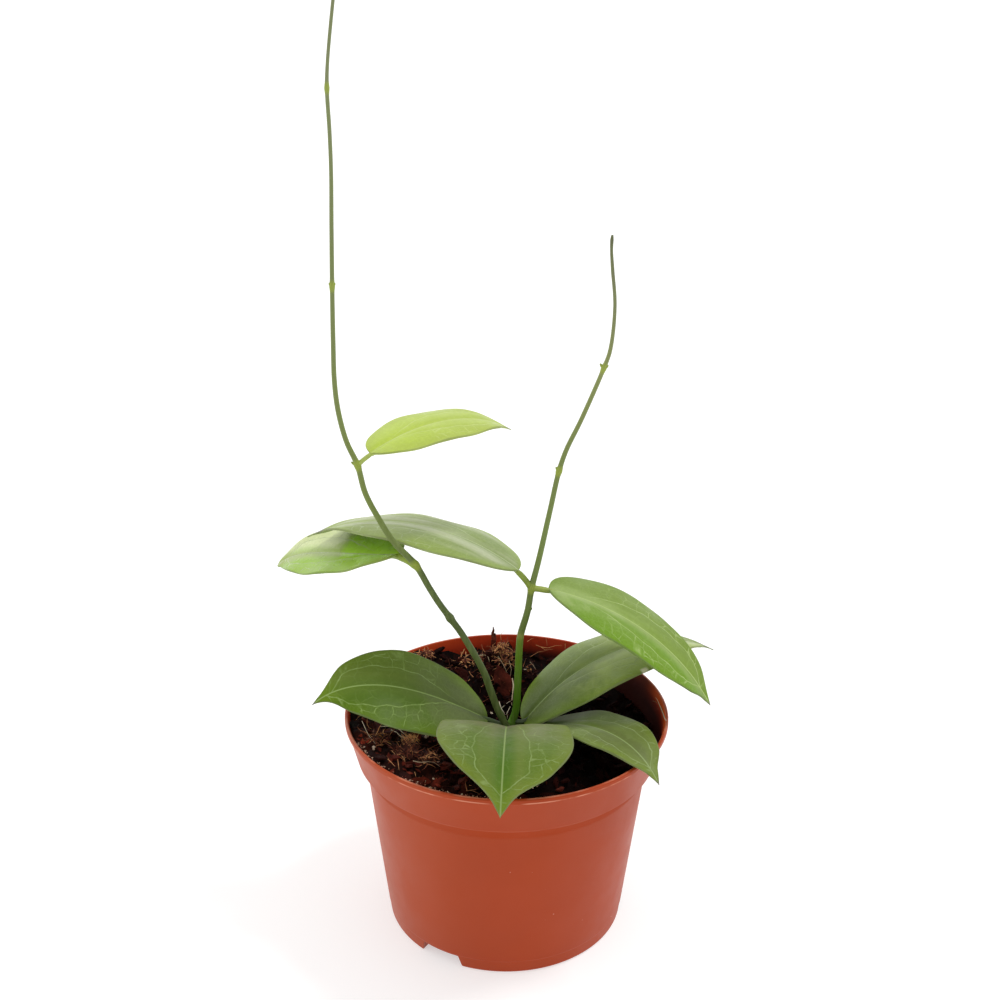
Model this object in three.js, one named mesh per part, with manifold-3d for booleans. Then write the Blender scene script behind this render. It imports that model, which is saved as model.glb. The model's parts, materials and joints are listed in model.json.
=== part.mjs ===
// A young hoya in a plastic nursery pot, in millimetres, with +Z up.
// The origin is on the pot's axis at the underside of its foot, and the plant's front faces -Y.
// Stems stand in plain holes in the potting mix, and each leaf meets its stem across a small gap.
import * as THREE from "three";
import { mergeVertices } from "three/addons/utils/BufferGeometryUtils.js";
import Module from "manifold-3d";

const wasm = await Module();
wasm.setup();

// Clearance left between pieces that touch on the real plant
const GAP = 0.3;

// Pot: a 12 cm nursery pot, whose outside is a tapered wall below a wider rim band
const POT_HEIGHT = 84.7;
const RIM_RADIUS = 60;
const RIM_BEAD_HEIGHT = 2;
const RIM_BEAD_DEPTH = 0.7;
const RIM_EDGE = 0.3;
const BAND_HEIGHT = 15.6;
const BAND_BOTTOM_RADIUS = 55.9;
const SHOULDER_DROP = 5.2;
const BODY_TOP_RADIUS = 52.5;
const FOOT_RADIUS = 45;
const FOOT_CORNER = 0.8;
const POT_WALL = 1.1;
const POT_BASE = 1.4;
const POT_SEGMENTS = 60;

// Drain notches: three raised steps round the foot, each with a drain hole in its ceiling
const NOTCH_COUNT = 3;
const NOTCH_BEARING = -122;
const NOTCH_WIDTH = 18.5;
const NOTCH_TOP_WIDTH = 15;
const NOTCH_HEIGHT = 5;
const NOTCH_INNER_RADIUS = 36;
const NOTCH_OUTER_RADIUS = 55;
const NOTCH_WALL = 1.2;
const DRAIN_HOLE_RADIUS = 2.5;
const DRAIN_HOLE_PLACE = 40;

// Potting mix: its height over the foot, with the slopes and hills that make its top uneven
const MIX_HEIGHT = 77.5;
const MIX_LEFT_RISE = 5;
const MIX_RIGHT_FALL = 5;
const MIX_HILLS = [
  { x: 3, y: -3, radius: 9, rise: -4 },
  { x: -3, y: 32, radius: 10, rise: 11 },
  { x: -1.5, y: 32, radius: 4.5, rise: 6 },
  { x: -35, y: -28, radius: 7, rise: 2.5 },
  { x: -32, y: 42, radius: 10, rise: 3 },
];
const MIX_CRUMB = 0.8;
const MIX_RINGS = 9;
const BARK_CHIPS = 22;
const BARK_SEED = 7;
const BARK_LENGTH = { least: 5, most: 10 };
const BARK_WIDTH = { least: 2.5, most: 4.5 };
const BARK_DEPTH = { least: 2, most: 3 };
const BARK_RING = { inner: 15, outer: 50 };
const SPLINTER = { x: -5, y: 36, radius: 1.9, length: 19 };

// Stems: the way each one takes from its buried foot to its tip, with the radius at each place.
// A node is a swollen joint that petioles spring from. A stub is a bud or scar beside it.
const STEM_SIDES = 8;
const STEM_STEP = 6;
const NODE_SWELL = 0.32;
const NODE_REACH = 1.3;
const NODE_RINGS = [-1.6, -0.8, 0, 0.8, 1.6];
const TALL_STEM = [
  { at: [2.2, -5.9, 52], radius: 1.2 },
  { at: [1.2, -6, 70], radius: 1.35 },
  { at: [0.1, -6, 79.6], radius: 1.35, node: "low" },
  { at: [-3.2, -6.1, 87.6], radius: 1.3 },
  { at: [-6.1, -6.1, 96.2], radius: 1.3 },
  { at: [-8.5, -6.2, 103.6], radius: 1.25 },
  { at: [-16.3, -6.3, 118.9], radius: 1.2 },
  { at: [-20.5, -6.5, 125.4], radius: 1.2, node: "bare" },
  { at: [-24.4, -6.8, 131.5], radius: 1.15 },
  { at: [-27.7, -7.1, 137.5], radius: 1.15 },
  { at: [-32.4, -7.5, 146.6], radius: 1.15, node: "middle" },
  { at: [-39.8, -8.1, 155.6], radius: 1.1 },
  { at: [-44.8, -7.7, 164.1], radius: 1.05 },
  { at: [-49.3, -7.2, 173.6], radius: 1 },
  { at: [-51.7, -6.9, 183.8], radius: 1, node: "upper" },
  { at: [-55.1, -7, 192.2], radius: 0.9 },
  { at: [-57.5, -7, 202.9], radius: 0.9 },
  { at: [-58.4, -7, 213.4], radius: 0.85 },
  { at: [-58.3, -7, 227.2], radius: 0.8 },
  { at: [-57.9, -7, 246], radius: 0.75, node: "high" },
  { at: [-57.3, -7, 266.8], radius: 0.7 },
  { at: [-56.8, -7, 282.6], radius: 0.65 },
  { at: [-56.8, -7, 294.9], radius: 0.65 },
  { at: [-57.1, -7, 308.2], radius: 0.65, node: "top" },
  { at: [-56.6, -7, 315.9], radius: 0.55 },
  { at: [-54.3, -7, 333.3], radius: 0.55 },
  { at: [-53.1, -7, 341], radius: 0.5 },
  { at: [-52.7, -7, 345], radius: 0.35 },
];
const SHORT_STEM = [
  { at: [-0.6, 1.2, 52], radius: 1.2 },
  { at: [0.4, 0.5, 70], radius: 1.35 },
  { at: [2.1, 0.1, 78.4], radius: 1.4, node: "low" },
  { at: [3.5, 0, 84.4], radius: 1.4 },
  { at: [4.1, -0.1, 98.8], radius: 1.35 },
  { at: [4.5, -0.3, 111], radius: 1.3 },
  { at: [4.9, -0.4, 115.6], radius: 1.3, node: "scar" },
  { at: [7.3, -0.9, 125.6], radius: 1.2 },
  { at: [8.6, -1.2, 134.9], radius: 1.15, node: "middle" },
  { at: [11, -1.3, 146], radius: 1.05 },
  { at: [14.7, -1.6, 165.4], radius: 0.95 },
  { at: [17.5, -2, 180.2], radius: 0.9, node: "high" },
  { at: [19.8, -2.1, 187.9], radius: 0.85 },
  { at: [24.6, -2.5, 199], radius: 0.8 },
  { at: [31.7, -3, 217.6], radius: 0.75, node: "top" },
  { at: [33.6, -3.2, 223.9], radius: 0.7 },
  { at: [34.6, -3.6, 239], radius: 0.6 },
  { at: [33.4, -3.9, 251.1], radius: 0.6 },
  { at: [32.8, -4, 257.7], radius: 0.5 },
  { at: [32.8, -4.2, 261], radius: 0.6 },
  { at: [32.9, -4.2, 262.6], radius: 0.35 },
];
const STUB_RADIUS = 0.55;
const TALL_STUBS = [
  { node: "upper", bearing: 180, rise: 10, length: 2.2 },
  { node: "high", bearing: 0, rise: 30, length: 1.2 },
  { node: "high", bearing: 180, rise: 30, length: 1.2 },
];
const SHORT_STUBS = [
  { node: "scar", bearing: 20, rise: 40, length: 2.2 },
  { node: "high", bearing: 170, rise: 35, length: 1.5 },
  { node: "high", bearing: -10, rise: 35, length: 1.5 },
  { node: "top", bearing: 175, rise: 35, length: 1.7 },
  { node: "top", bearing: -10, rise: 20, length: 1.6 },
];

// Leaves. The base is where the blade begins. The heading is the way that its midrib sets out,
// counted from +X towards +Y, and sweep turns it on its way to the tip. Rise is the midrib's slope
// at the base, bend changes it evenly and hook bends it mostly near the tip, all in degrees.
// Widest is the share of the length where the blade is widest, and point sharpens the tip.
// Roll tips the blade about its midrib, and twist adds to it on the way to the tip. Fold lifts the
// two halves like a gutter, arch turns their edges down and skew makes one half wider than the
// other, all as shares of the half width. The petiole springs from a place inside its stem, and
// bow pushes it aside on its way to the blade.
const LEAVES = {
  leaf_low_left: {
    springs: [-0.2, -6, 80.2], petiole: 1.2, base: [-6.9, -5, 83.4],
    heading: 194.5, sweep: -4, rise: 33.5, bend: -13.5, hook: -62, length: 70.3, width: 36.1,
    widest: 0.46, point: 1.07, roll: -21, twist: -6, fold: 0.02, arch: 0.06, skew: 0,
  },
  leaf_low_front: {
    springs: [0.2, -6, 79], petiole: 1.2, base: [0.4, -9.8, 80.9],
    heading: -91.8, sweep: 0, rise: 44, bend: -73, hook: 26.5, length: 90.9, width: 46.5,
    widest: 0.48, point: 1.36, roll: 0, twist: -9, fold: 0.19, arch: 0.13, skew: 0,
  },
  leaf_low_back: {
    springs: [2.3, 0.1, 79.4], petiole: 1.1, base: [6.2, -1, 79.4],
    heading: 18.5, sweep: 8, rise: 52, bend: -80.5, hook: -6.5, length: 90.3, width: 40.9,
    widest: 0.45, point: 1.3, roll: -4, twist: -5.5, fold: 0.18, arch: 0.25, skew: 0,
  },
  leaf_low_right: {
    springs: [1.8, 0.1, 76.2], petiole: 1.1, base: [13.6, -2.9, 79.4], bow: [0, -4, 0],
    heading: -37.8, sweep: -19, rise: 28, bend: -33, hook: -40, length: 61.4, width: 26.3,
    widest: 0.53, point: 1.09, roll: -1, twist: -5, fold: 0.12, arch: 0.08, skew: 0.06,
  },
  leaf_middle_right: {
    springs: [8.6, -1.2, 134.9], petiole: 1.1, base: [14.9, -1.2, 134.9],
    heading: 4, sweep: -16, rise: -15, bend: -41.3, hook: -6, length: 78.1, width: 35.1,
    widest: 0.39, point: 0.95, roll: 4.5, twist: 9.5, fold: 0.12, arch: 0.18, skew: 0.04,
  },
  leaf_middle_left: {
    springs: [8.6, -1.2, 134.9], petiole: 1.1, base: [4, -1.2, 142.4],
    heading: 155.3, sweep: 12, rise: 29, bend: -56.2, hook: -2, length: 87, width: 39.5,
    widest: 0.43, point: 1.34, roll: 10, twist: -1, fold: 0.14, arch: 0.24, skew: 0.03,
  },
  leaf_rear_left: {
    springs: [-32.4, -7.5, 146.6], petiole: 1.4, base: [-38.9, -2.6, 149],
    heading: 145, sweep: -4.4, rise: -17.6, bend: 16.4, hook: -40.6, length: 66.2, width: 29.8,
    widest: 0.45, point: 1.21, roll: -4.4, twist: -28.3, fold: 0.09, arch: 0.07, skew: -0.07,
  },
  leaf_young: {
    springs: [-51.7, -6.9, 183.8], petiole: 0.8, base: [-47.3, -6, 188.2],
    heading: 39, sweep: -8.3, rise: 19.7, bend: -37.3, hook: -17.5, length: 61.5, width: 27.4,
    widest: 0.44, point: 1.04, roll: 1.4, twist: 5, fold: 0.12, arch: 0.22, skew: 0.05,
  },
};
const BLADE_EDGE = 0.8;
const BLADE_MIDDLE = 1.3;
const BLADE_TIP_WIDTH = 0.8;
const KEEL_DEPTH = 0.8;
const BLADE_ROWS = 16;
const BLADE_COLUMNS = [-1, -0.8, -0.5, -0.16, 0, 0.16, 0.5, 0.8, 1];
const PETIOLE_SIDES = 8;
const PETIOLE_STEPS = 6;
const PETIOLE_ROOTING = 4;
const PETIOLE_TAPER = 0.45;

const degrees = THREE.MathUtils.degToRad;
const clamp = THREE.MathUtils.clamp;
const vector = (xyz) => new THREE.Vector3(...xyz);

// Solids
function solid(geometry) {
  const bare = new THREE.BufferGeometry();
  bare.setAttribute("position", geometry.getAttribute("position"));
  bare.setIndex(geometry.index);
  const merged = mergeVertices(bare, 1e-4);
  const index = merged.index.array;
  const corners = [];
  for (let i = 0; i < index.length; i += 3) {
    const [a, b, c] = [index[i], index[i + 1], index[i + 2]];
    if (a !== b && b !== c && c !== a) corners.push(a, b, c);
  }
  const vertProperties = merged.attributes.position.array;
  const build = (triVerts) => new wasm.Manifold(new wasm.Mesh({ numProp: 3, vertProperties, triVerts }));
  const made = build(new Uint32Array(corners));
  return made.volume() < 0 ? build(new Uint32Array(corners.reverse())) : made;
}

function geometryOf(made) {
  const mesh = made.getMesh();
  const positions = new Float32Array(mesh.numVert * 3);
  for (let i = 0; i < mesh.numVert; i++) {
    positions.set(mesh.vertProperties.subarray(i * mesh.numProp, i * mesh.numProp + 3), i * 3);
  }
  const geometry = new THREE.BufferGeometry();
  geometry.setAttribute("position", new THREE.BufferAttribute(positions, 3));
  geometry.setIndex(new THREE.BufferAttribute(mesh.triVerts, 1));
  geometry.computeVertexNormals();
  return geometry;
}

// A closed skin over rings of points that have the same count, with a fan over each end
function ringSkin(rings) {
  const count = rings[0].length;
  const middle = (ring) => ring.reduce((sum, p) => sum.add(p), new THREE.Vector3()).divideScalar(count);
  const points = [middle(rings[0]), ...rings.flat(), middle(rings.at(-1))];
  const at = (ring, side) => 1 + ring * count + (side % count);
  const last = rings.length - 1;
  const faces = [];
  for (let side = 0; side < count; side++) {
    faces.push(0, at(0, side + 1), at(0, side));
    for (let ring = 0; ring < last; ring++) {
      faces.push(at(ring, side), at(ring, side + 1), at(ring + 1, side));
      faces.push(at(ring, side + 1), at(ring + 1, side + 1), at(ring + 1, side));
    }
    faces.push(points.length - 1, at(last, side), at(last, side + 1));
  }
  return new THREE.BufferGeometry().setFromPoints(points).setIndex(faces);
}

// A closed slab between two grids of points, split into triangles alike on both faces
function slab(upper, lower) {
  const rows = upper.length;
  const columns = upper[0].length;
  const points = [...upper.flat(), ...lower.flat()];
  const top = (row, column) => row * columns + column;
  const under = (row, column) => rows * columns + top(row, column);
  const faces = [];
  for (let row = 0; row < rows - 1; row++) {
    for (let column = 0; column < columns - 1; column++) {
      const corners = [[row, column], [row + 1, column], [row + 1, column + 1], [row, column + 1]];
      const [a, b, c, d] = corners.map(([r, k]) => top(r, k));
      const [e, f, g, h] = corners.map(([r, k]) => under(r, k));
      faces.push(a, b, c, a, c, d, e, g, f, e, h, g);
    }
  }
  const border = [];
  for (let column = 0; column < columns - 1; column++) border.push([0, column]);
  for (let row = 0; row < rows - 1; row++) border.push([row, columns - 1]);
  for (let column = columns - 1; column > 0; column--) border.push([rows - 1, column]);
  for (let row = rows - 1; row > 0; row--) border.push([row, 0]);
  border.forEach(([row, column], i) => {
    const [nextRow, nextColumn] = border[(i + 1) % border.length];
    const [a, b] = [top(row, column), top(nextRow, nextColumn)];
    const [c, d] = [under(row, column), under(nextRow, nextColumn)];
    faces.push(a, b, d, a, d, c);
  });
  return new THREE.BufferGeometry().setFromPoints(points).setIndex(faces);
}

// A profile of radius and height pairs turned about the pot's axis
function turned(profile) {
  const points = profile.map(([radius, height]) => new THREE.Vector2(radius, height));
  return solid(new THREE.LatheGeometry(points, POT_SEGMENTS).rotateX(Math.PI / 2));
}

// Pot
const SHOULDER_BOTTOM = POT_HEIGHT - BAND_HEIGHT - SHOULDER_DROP;
const BAND_BOTTOM = POT_HEIGHT - BAND_HEIGHT;

// The inside of the pot as radius and height pairs, brought in by an extra clearance
function insideProfile(clearance) {
  const inset = POT_WALL + clearance;
  return [
    [FOOT_RADIUS - inset, POT_BASE + clearance],
    [BODY_TOP_RADIUS - inset, SHOULDER_BOTTOM],
    [BAND_BOTTOM_RADIUS - inset, BAND_BOTTOM],
    [RIM_RADIUS - inset, POT_HEIGHT],
  ];
}

function insideRadius(height, clearance) {
  const profile = insideProfile(clearance);
  const above = Math.max(1, profile.findIndex(([, z]) => z >= height));
  const [[r0, z0], [r1, z1]] = [profile[above - 1], profile[above]];
  return THREE.MathUtils.mapLinear(height, z0, z1, r0, r1);
}

// A block with sloping ends that runs outwards along a notch's bearing
function notchBlock(bearing, grow, innerRadius, outerRadius) {
  const half = NOTCH_WIDTH / 2 + grow;
  const topHalf = NOTCH_TOP_WIDTH / 2 + grow;
  const outline = new THREE.Shape();
  outline.moveTo(-half, -1);
  outline.lineTo(half, -1);
  outline.lineTo(topHalf, NOTCH_HEIGHT + grow);
  outline.lineTo(-topHalf, NOTCH_HEIGHT + grow);
  outline.closePath();
  const depth = outerRadius - innerRadius;
  const block = new THREE.ExtrudeGeometry(outline, { depth, bevelEnabled: false });
  block.translate(0, 0, innerRadius);
  block.rotateX(Math.PI / 2).rotateZ(Math.PI / 2 + degrees(bearing));
  return solid(block);
}

const notches = Array.from({ length: NOTCH_COUNT }, (_, i) => NOTCH_BEARING + (i * 360) / NOTCH_COUNT);

function makePot() {
  const outside = turned([
    [0, 0],
    [FOOT_RADIUS - FOOT_CORNER, 0],
    [FOOT_RADIUS, FOOT_CORNER],
    [BODY_TOP_RADIUS, SHOULDER_BOTTOM],
    [BAND_BOTTOM_RADIUS, BAND_BOTTOM],
    [RIM_RADIUS - RIM_BEAD_DEPTH, POT_HEIGHT - RIM_BEAD_HEIGHT - RIM_BEAD_DEPTH / 2],
    [RIM_RADIUS, POT_HEIGHT - RIM_BEAD_HEIGHT],
    [RIM_RADIUS, POT_HEIGHT - RIM_EDGE],
    [RIM_RADIUS - RIM_EDGE, POT_HEIGHT],
    [0, POT_HEIGHT],
  ]);
  const inside = insideProfile(0);
  const [topRadius] = inside.at(-1);
  const cavity = turned([
    [0, POT_BASE],
    ...inside,
    [topRadius, POT_HEIGHT + 1],
    [0, POT_HEIGHT + 1],
  ]);
  let pot = outside.subtract(cavity);
  for (const bearing of notches) {
    const step = notchBlock(bearing, NOTCH_WALL, NOTCH_INNER_RADIUS - NOTCH_WALL, FOOT_RADIUS + NOTCH_WALL);
    pot = pot.add(step.intersect(outside));
    pot = pot.subtract(notchBlock(bearing, 0, NOTCH_INNER_RADIUS, NOTCH_OUTER_RADIUS));
    const hole = new THREE.CylinderGeometry(DRAIN_HOLE_RADIUS, DRAIN_HOLE_RADIUS, NOTCH_HEIGHT, 16);
    hole.rotateX(Math.PI / 2).translate(DRAIN_HOLE_PLACE, 0, NOTCH_HEIGHT).rotateZ(degrees(bearing));
    pot = pot.subtract(solid(hole));
  }
  return pot;
}

// Stems
function stemCurve(stem) {
  return new THREE.CatmullRomCurve3(stem.map(({ at }) => vector(at)), false, "centripetal");
}

function nodeOf(stem, name) {
  return vector(stem.find(({ node }) => node === name).at);
}

// A round tube along a curve, closed at both ends, whose radius is read along its length
function tube(curve, places, radiusAt, sides) {
  const across = new THREE.Vector3(0, 1, 0);
  const rings = places.map((place) => {
    const centre = curve.getPointAt(place);
    const along = curve.getTangentAt(place);
    const side = new THREE.Vector3().crossVectors(along, across).normalize();
    const front = new THREE.Vector3().crossVectors(side, along);
    return Array.from({ length: sides }, (_, i) => {
      const turn = (2 * Math.PI * i) / sides;
      return centre.clone()
        .addScaledVector(side, radiusAt(place) * Math.cos(turn))
        .addScaledVector(front, radiusAt(place) * Math.sin(turn));
    });
  });
  return ringSkin(rings);
}

function stemSolid(stem, stubs, grow) {
  const curve = stemCurve(stem);
  const length = curve.getLength();
  const spans = stem.length - 1;
  const finer = 50;
  const arcs = curve.getLengths(spans * finer);
  const placeOf = (i) => arcs[i * finer] / length;
  const nodePlaces = stem.flatMap(({ node }, i) => (node ? [placeOf(i)] : []));
  const radiusAt = (place) => {
    const above = clamp(stem.findIndex((_, i) => placeOf(i) >= place - 1e-6), 1, spans);
    const [from, to] = [placeOf(above - 1), placeOf(above)];
    const plain = THREE.MathUtils.mapLinear(place, from, to, stem[above - 1].radius, stem[above].radius);
    const swell = nodePlaces.reduce((sum, node) => {
      const away = ((place - node) * length) / NODE_REACH;
      return sum + NODE_SWELL * Math.exp(-away * away);
    }, 0);
    return plain * (1 + swell) + grow;
  };
  const steps = Math.round(length / STEM_STEP);
  const ringsAt = (node) => NODE_RINGS.map((away) => node + (away * NODE_REACH) / length);
  const nearNodes = nodePlaces.flatMap(ringsAt);
  const even = Array.from({ length: steps + 1 }, (_, i) => i / steps)
    .filter((place) => nearNodes.every((near) => Math.abs(near - place) * length > NODE_REACH));
  const places = [...even, ...nearNodes].sort((a, b) => a - b);
  let made = solid(tube(curve, places, radiusAt, STEM_SIDES));
  for (const { node, bearing, rise, length: reach } of stubs) {
    const height = reach + grow;
    const stub = new THREE.ConeGeometry(STUB_RADIUS + grow, height, 6).translate(0, height / 2, 0);
    stub.rotateZ(-Math.PI / 2).rotateY(-degrees(rise)).rotateZ(degrees(bearing));
    const at = nodeOf(stem, node);
    made = made.add(solid(stub.translate(at.x, at.y, at.z)));
  }
  return made;
}

// Leaves
function bladeOutline(t, widest, point) {
  if (t < widest) return Math.sqrt(1 - (1 - t / widest) ** 2.2);
  const past = (t - widest) / (1 - widest);
  return Math.max(0, 1 - past * past) ** point;
}

// The midrib's place, its way and the blade's sideways and upward directions at each row
function midrib(leaf, shares) {
  const fine = 200;
  const wayAt = (t) => {
    const slope = degrees(leaf.rise + leaf.bend * t + leaf.hook * t ** 3);
    const heading = degrees(leaf.heading + leaf.sweep * t);
    return new THREE.Vector3(
      Math.cos(slope) * Math.cos(heading), Math.cos(slope) * Math.sin(heading), Math.sin(slope));
  };
  const walk = [vector(leaf.base)];
  for (let i = 0; i < fine; i++) {
    walk.push(walk[i].clone().addScaledVector(wayAt((i + 0.5) / fine), leaf.length / fine));
  }
  return shares.map((t) => {
    const heading = degrees(leaf.heading + leaf.sweep * t);
    const roll = degrees(leaf.roll + leaf.twist * t);
    const way = wayAt(t);
    const level = new THREE.Vector3(-Math.sin(heading), Math.cos(heading), 0);
    const upright = new THREE.Vector3().crossVectors(way, level);
    const side = level.clone().multiplyScalar(Math.cos(roll)).addScaledVector(upright, Math.sin(roll));
    const up = upright.multiplyScalar(Math.cos(roll)).addScaledVector(level, -Math.sin(roll));
    return { t, place: walk[Math.round(t * fine)], way, side, up };
  });
}

function bladeSolid(leaf) {
  // Rows stand closer together towards the base and the tip, where the outline turns most
  const shares = Array.from({ length: BLADE_ROWS + 1 }, (_, i) => {
    const even = i / BLADE_ROWS;
    const crowded = (1 - Math.cos(Math.PI * even)) / 2;
    return (even + crowded) / 2;
  });
  const rows = midrib(leaf, shares);
  const half = leaf.width / 2;
  const pointAt = ({ t, place, side, up }, share, depth) => {
    const least = THREE.MathUtils.lerp(leaf.petiole, BLADE_TIP_WIDTH / 2, t);
    const reach = Math.max(least, half * bladeOutline(t, leaf.widest, leaf.point));
    const across = reach * (share + leaf.skew * Math.abs(share));
    const height = leaf.fold * Math.abs(across) - (leaf.arch * across * across) / half;
    return place.clone().addScaledVector(side, across).addScaledVector(up, height - depth);
  };
  const depthAt = (t, share) => {
    const plain = THREE.MathUtils.lerp(BLADE_MIDDLE, BLADE_EDGE, share * share);
    const keel = share === 0 ? KEEL_DEPTH * (1 - t) : 0;
    return plain + keel;
  };
  const upper = rows.map((row) => BLADE_COLUMNS.map((share) => pointAt(row, share, 0)));
  const lower = rows.map((row) => BLADE_COLUMNS.map((share) => pointAt(row, share, depthAt(row.t, share))));
  return solid(slab(upper, lower));
}

// The petiole comes out of its stem and roots under the blade's midrib
function petioleSolid(leaf) {
  const from = vector(leaf.springs);
  const [start, rooted] = midrib(leaf, [0, PETIOLE_ROOTING / leaf.length]);
  const sunk = BLADE_MIDDLE / 2 + 0.1;
  const into = start.place.clone().addScaledVector(start.up, -sunk);
  const end = rooted.place.clone().addScaledVector(rooted.up, -sunk);
  const reach = into.distanceTo(from);
  const curve = new THREE.CubicBezierCurve3(
    from,
    from.clone().lerp(into, 0.4).add(vector(leaf.bow ?? [0, 0, 0])),
    into.clone().addScaledVector(start.way, -0.3 * reach),
    end);
  const places = Array.from({ length: PETIOLE_STEPS + 1 }, (_, i) => i / PETIOLE_STEPS);
  const radiusAt = (place) => leaf.petiole * (1 - PETIOLE_TAPER * THREE.MathUtils.smoothstep(place, 0.6, 1));
  return solid(tube(curve, places, radiusAt, PETIOLE_SIDES));
}

// Potting mix
function mixHeight(x, y) {
  const ramp = (v) => THREE.MathUtils.smoothstep(v, 0, 1);
  const slopes = MIX_LEFT_RISE * ramp((-x - 12) / 38) - MIX_RIGHT_FALL * ramp((x - 10) / 45);
  const hills = MIX_HILLS.reduce((sum, hill) => {
    const away = ((x - hill.x) ** 2 + (y - hill.y) ** 2) / (2 * hill.radius ** 2);
    return sum + hill.rise * Math.exp(-away);
  }, 0);
  const crumbs = Math.sin(0.55 * x + 1.3) * Math.sin(0.61 * y + 0.4) + 0.6 * Math.sin(1.1 * x - 0.8 * y);
  return MIX_HEIGHT + slopes + hills + MIX_CRUMB * crumbs;
}

function mixRing(radiusAt, heightAt) {
  return Array.from({ length: POT_SEGMENTS }, (_, i) => {
    const turn = (2 * Math.PI * i) / POT_SEGMENTS;
    const radius = radiusAt(turn);
    const [x, y] = [radius * Math.sin(turn), -radius * Math.cos(turn)];
    return new THREE.Vector3(x, y, heightAt(x, y));
  });
}

// Where the top of the mix meets the wall, found by a few steps between radius and height
function edgeRadius(turn) {
  let radius = insideRadius(MIX_HEIGHT, GAP);
  for (let i = 0; i < 4; i++) {
    radius = insideRadius(mixHeight(radius * Math.sin(turn), -radius * Math.cos(turn)), GAP);
  }
  return radius;
}

// A repeatable draw between two limits
function makeDraw(seed) {
  const most = 4294967296;
  let state = seed;
  return (from, to) => {
    state = (state * 1664525 + 1013904223) % most;
    return from + ((to - from) * state) / most;
  };
}

// A rough splinter of bark, narrower and bent aside at both ends
function barkChip(draw) {
  const sizes = [BARK_LENGTH, BARK_WIDTH, BARK_DEPTH];
  const [length, width, depth] = sizes.map(({ least, most }) => draw(least, most));
  const chip = new THREE.BoxGeometry(length, width, depth, 2, 1, 1);
  const points = chip.getAttribute("position");
  const lean = draw(-0.3, 0.3);
  for (let i = 0; i < points.count; i++) {
    const end = (2 * Math.abs(points.getX(i))) / length;
    points.setY(i, points.getY(i) * (1 - 0.55 * end) + lean * end * width);
    points.setZ(i, points.getZ(i) * (1 - 0.3 * end));
  }
  return chip.rotateX(draw(-0.7, 0.7)).rotateY(draw(-0.35, 0.35)).rotateZ(draw(0, Math.PI));
}

function makeMix(stems) {
  const sides = insideProfile(GAP).slice(0, 3).map(([radius, height]) => mixRing(() => radius, () => height));
  const tops = Array.from({ length: MIX_RINGS }, (_, i) => {
    const share = 1 - i / MIX_RINGS;
    return mixRing((turn) => edgeRadius(turn) * share, mixHeight);
  });
  let mix = solid(ringSkin([...sides, ...tops]));
  const draw = makeDraw(BARK_SEED);
  for (let i = 0; i < BARK_CHIPS; i++) {
    const turn = draw(0, 2 * Math.PI);
    const away = THREE.MathUtils.lerp(BARK_RING.inner, BARK_RING.outer, Math.sqrt(draw(0, 1)));
    const [x, y] = [away * Math.sin(turn), -away * Math.cos(turn)];
    mix = mix.add(solid(barkChip(draw).translate(x, y, mixHeight(x, y))));
  }
  const splinter = new THREE.ConeGeometry(SPLINTER.radius, SPLINTER.length, 5).scale(1, 1, 0.6);
  splinter.rotateX(Math.PI / 2).rotateY(-0.12);
  mix = mix.add(solid(splinter.translate(SPLINTER.x, SPLINTER.y, mixHeight(SPLINTER.x, SPLINTER.y) + 1)));
  for (const bearing of notches) {
    const clear = NOTCH_WALL + GAP;
    mix = mix.subtract(notchBlock(bearing, clear, NOTCH_INNER_RADIUS - clear, NOTCH_OUTER_RADIUS));
  }
  return stems.reduce((rest, stem) => rest.subtract(stem.add(stem.translate([0, 0, -GAP]))), mix);
}

// The whole object
const grownStems = [stemSolid(TALL_STEM, TALL_STUBS, GAP), stemSolid(SHORT_STEM, SHORT_STUBS, GAP)];

function finish(colour, roughness) {
  return new THREE.MeshStandardMaterial({ color: colour, roughness, metalness: 0 });
}

const TERRACOTTA = finish("#a8492f", 0.5);
const PEAT = finish("#2a1c14", 0.95);
const STEM_GREEN = finish("#5d7434", 0.55);
const LEAF_GREEN = finish("#4d6e33", 0.4);
const YOUNG_GREEN = finish("#a9c94b", 0.4);

function piece(name, made, material) {
  const mesh = new THREE.Mesh(geometryOf(made), material.clone());
  mesh.name = name;
  return mesh;
}

function makeLeaf(name, leaf) {
  const whole = bladeSolid(leaf).add(petioleSolid(leaf));
  const clear = grownStems.reduce((rest, stem) => rest.subtract(stem), whole);
  const largest = clear.decompose().sort((a, b) => b.volume() - a.volume())[0];
  return piece(name, largest, name === "leaf_young" ? YOUNG_GREEN : LEAF_GREEN);
}

const pottedHoya = new THREE.Group();
pottedHoya.add(piece("pot", makePot(), TERRACOTTA));
pottedHoya.add(piece("potting_mix", makeMix(grownStems), PEAT));
pottedHoya.add(piece("stem_tall", stemSolid(TALL_STEM, TALL_STUBS, 0), STEM_GREEN));
pottedHoya.add(piece("stem_short", stemSolid(SHORT_STEM, SHORT_STUBS, 0), STEM_GREEN));
for (const [name, leaf] of Object.entries(LEAVES)) pottedHoya.add(makeLeaf(name, leaf));

export default pottedHoya;
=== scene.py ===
"""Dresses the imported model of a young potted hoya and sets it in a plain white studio."""

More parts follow.
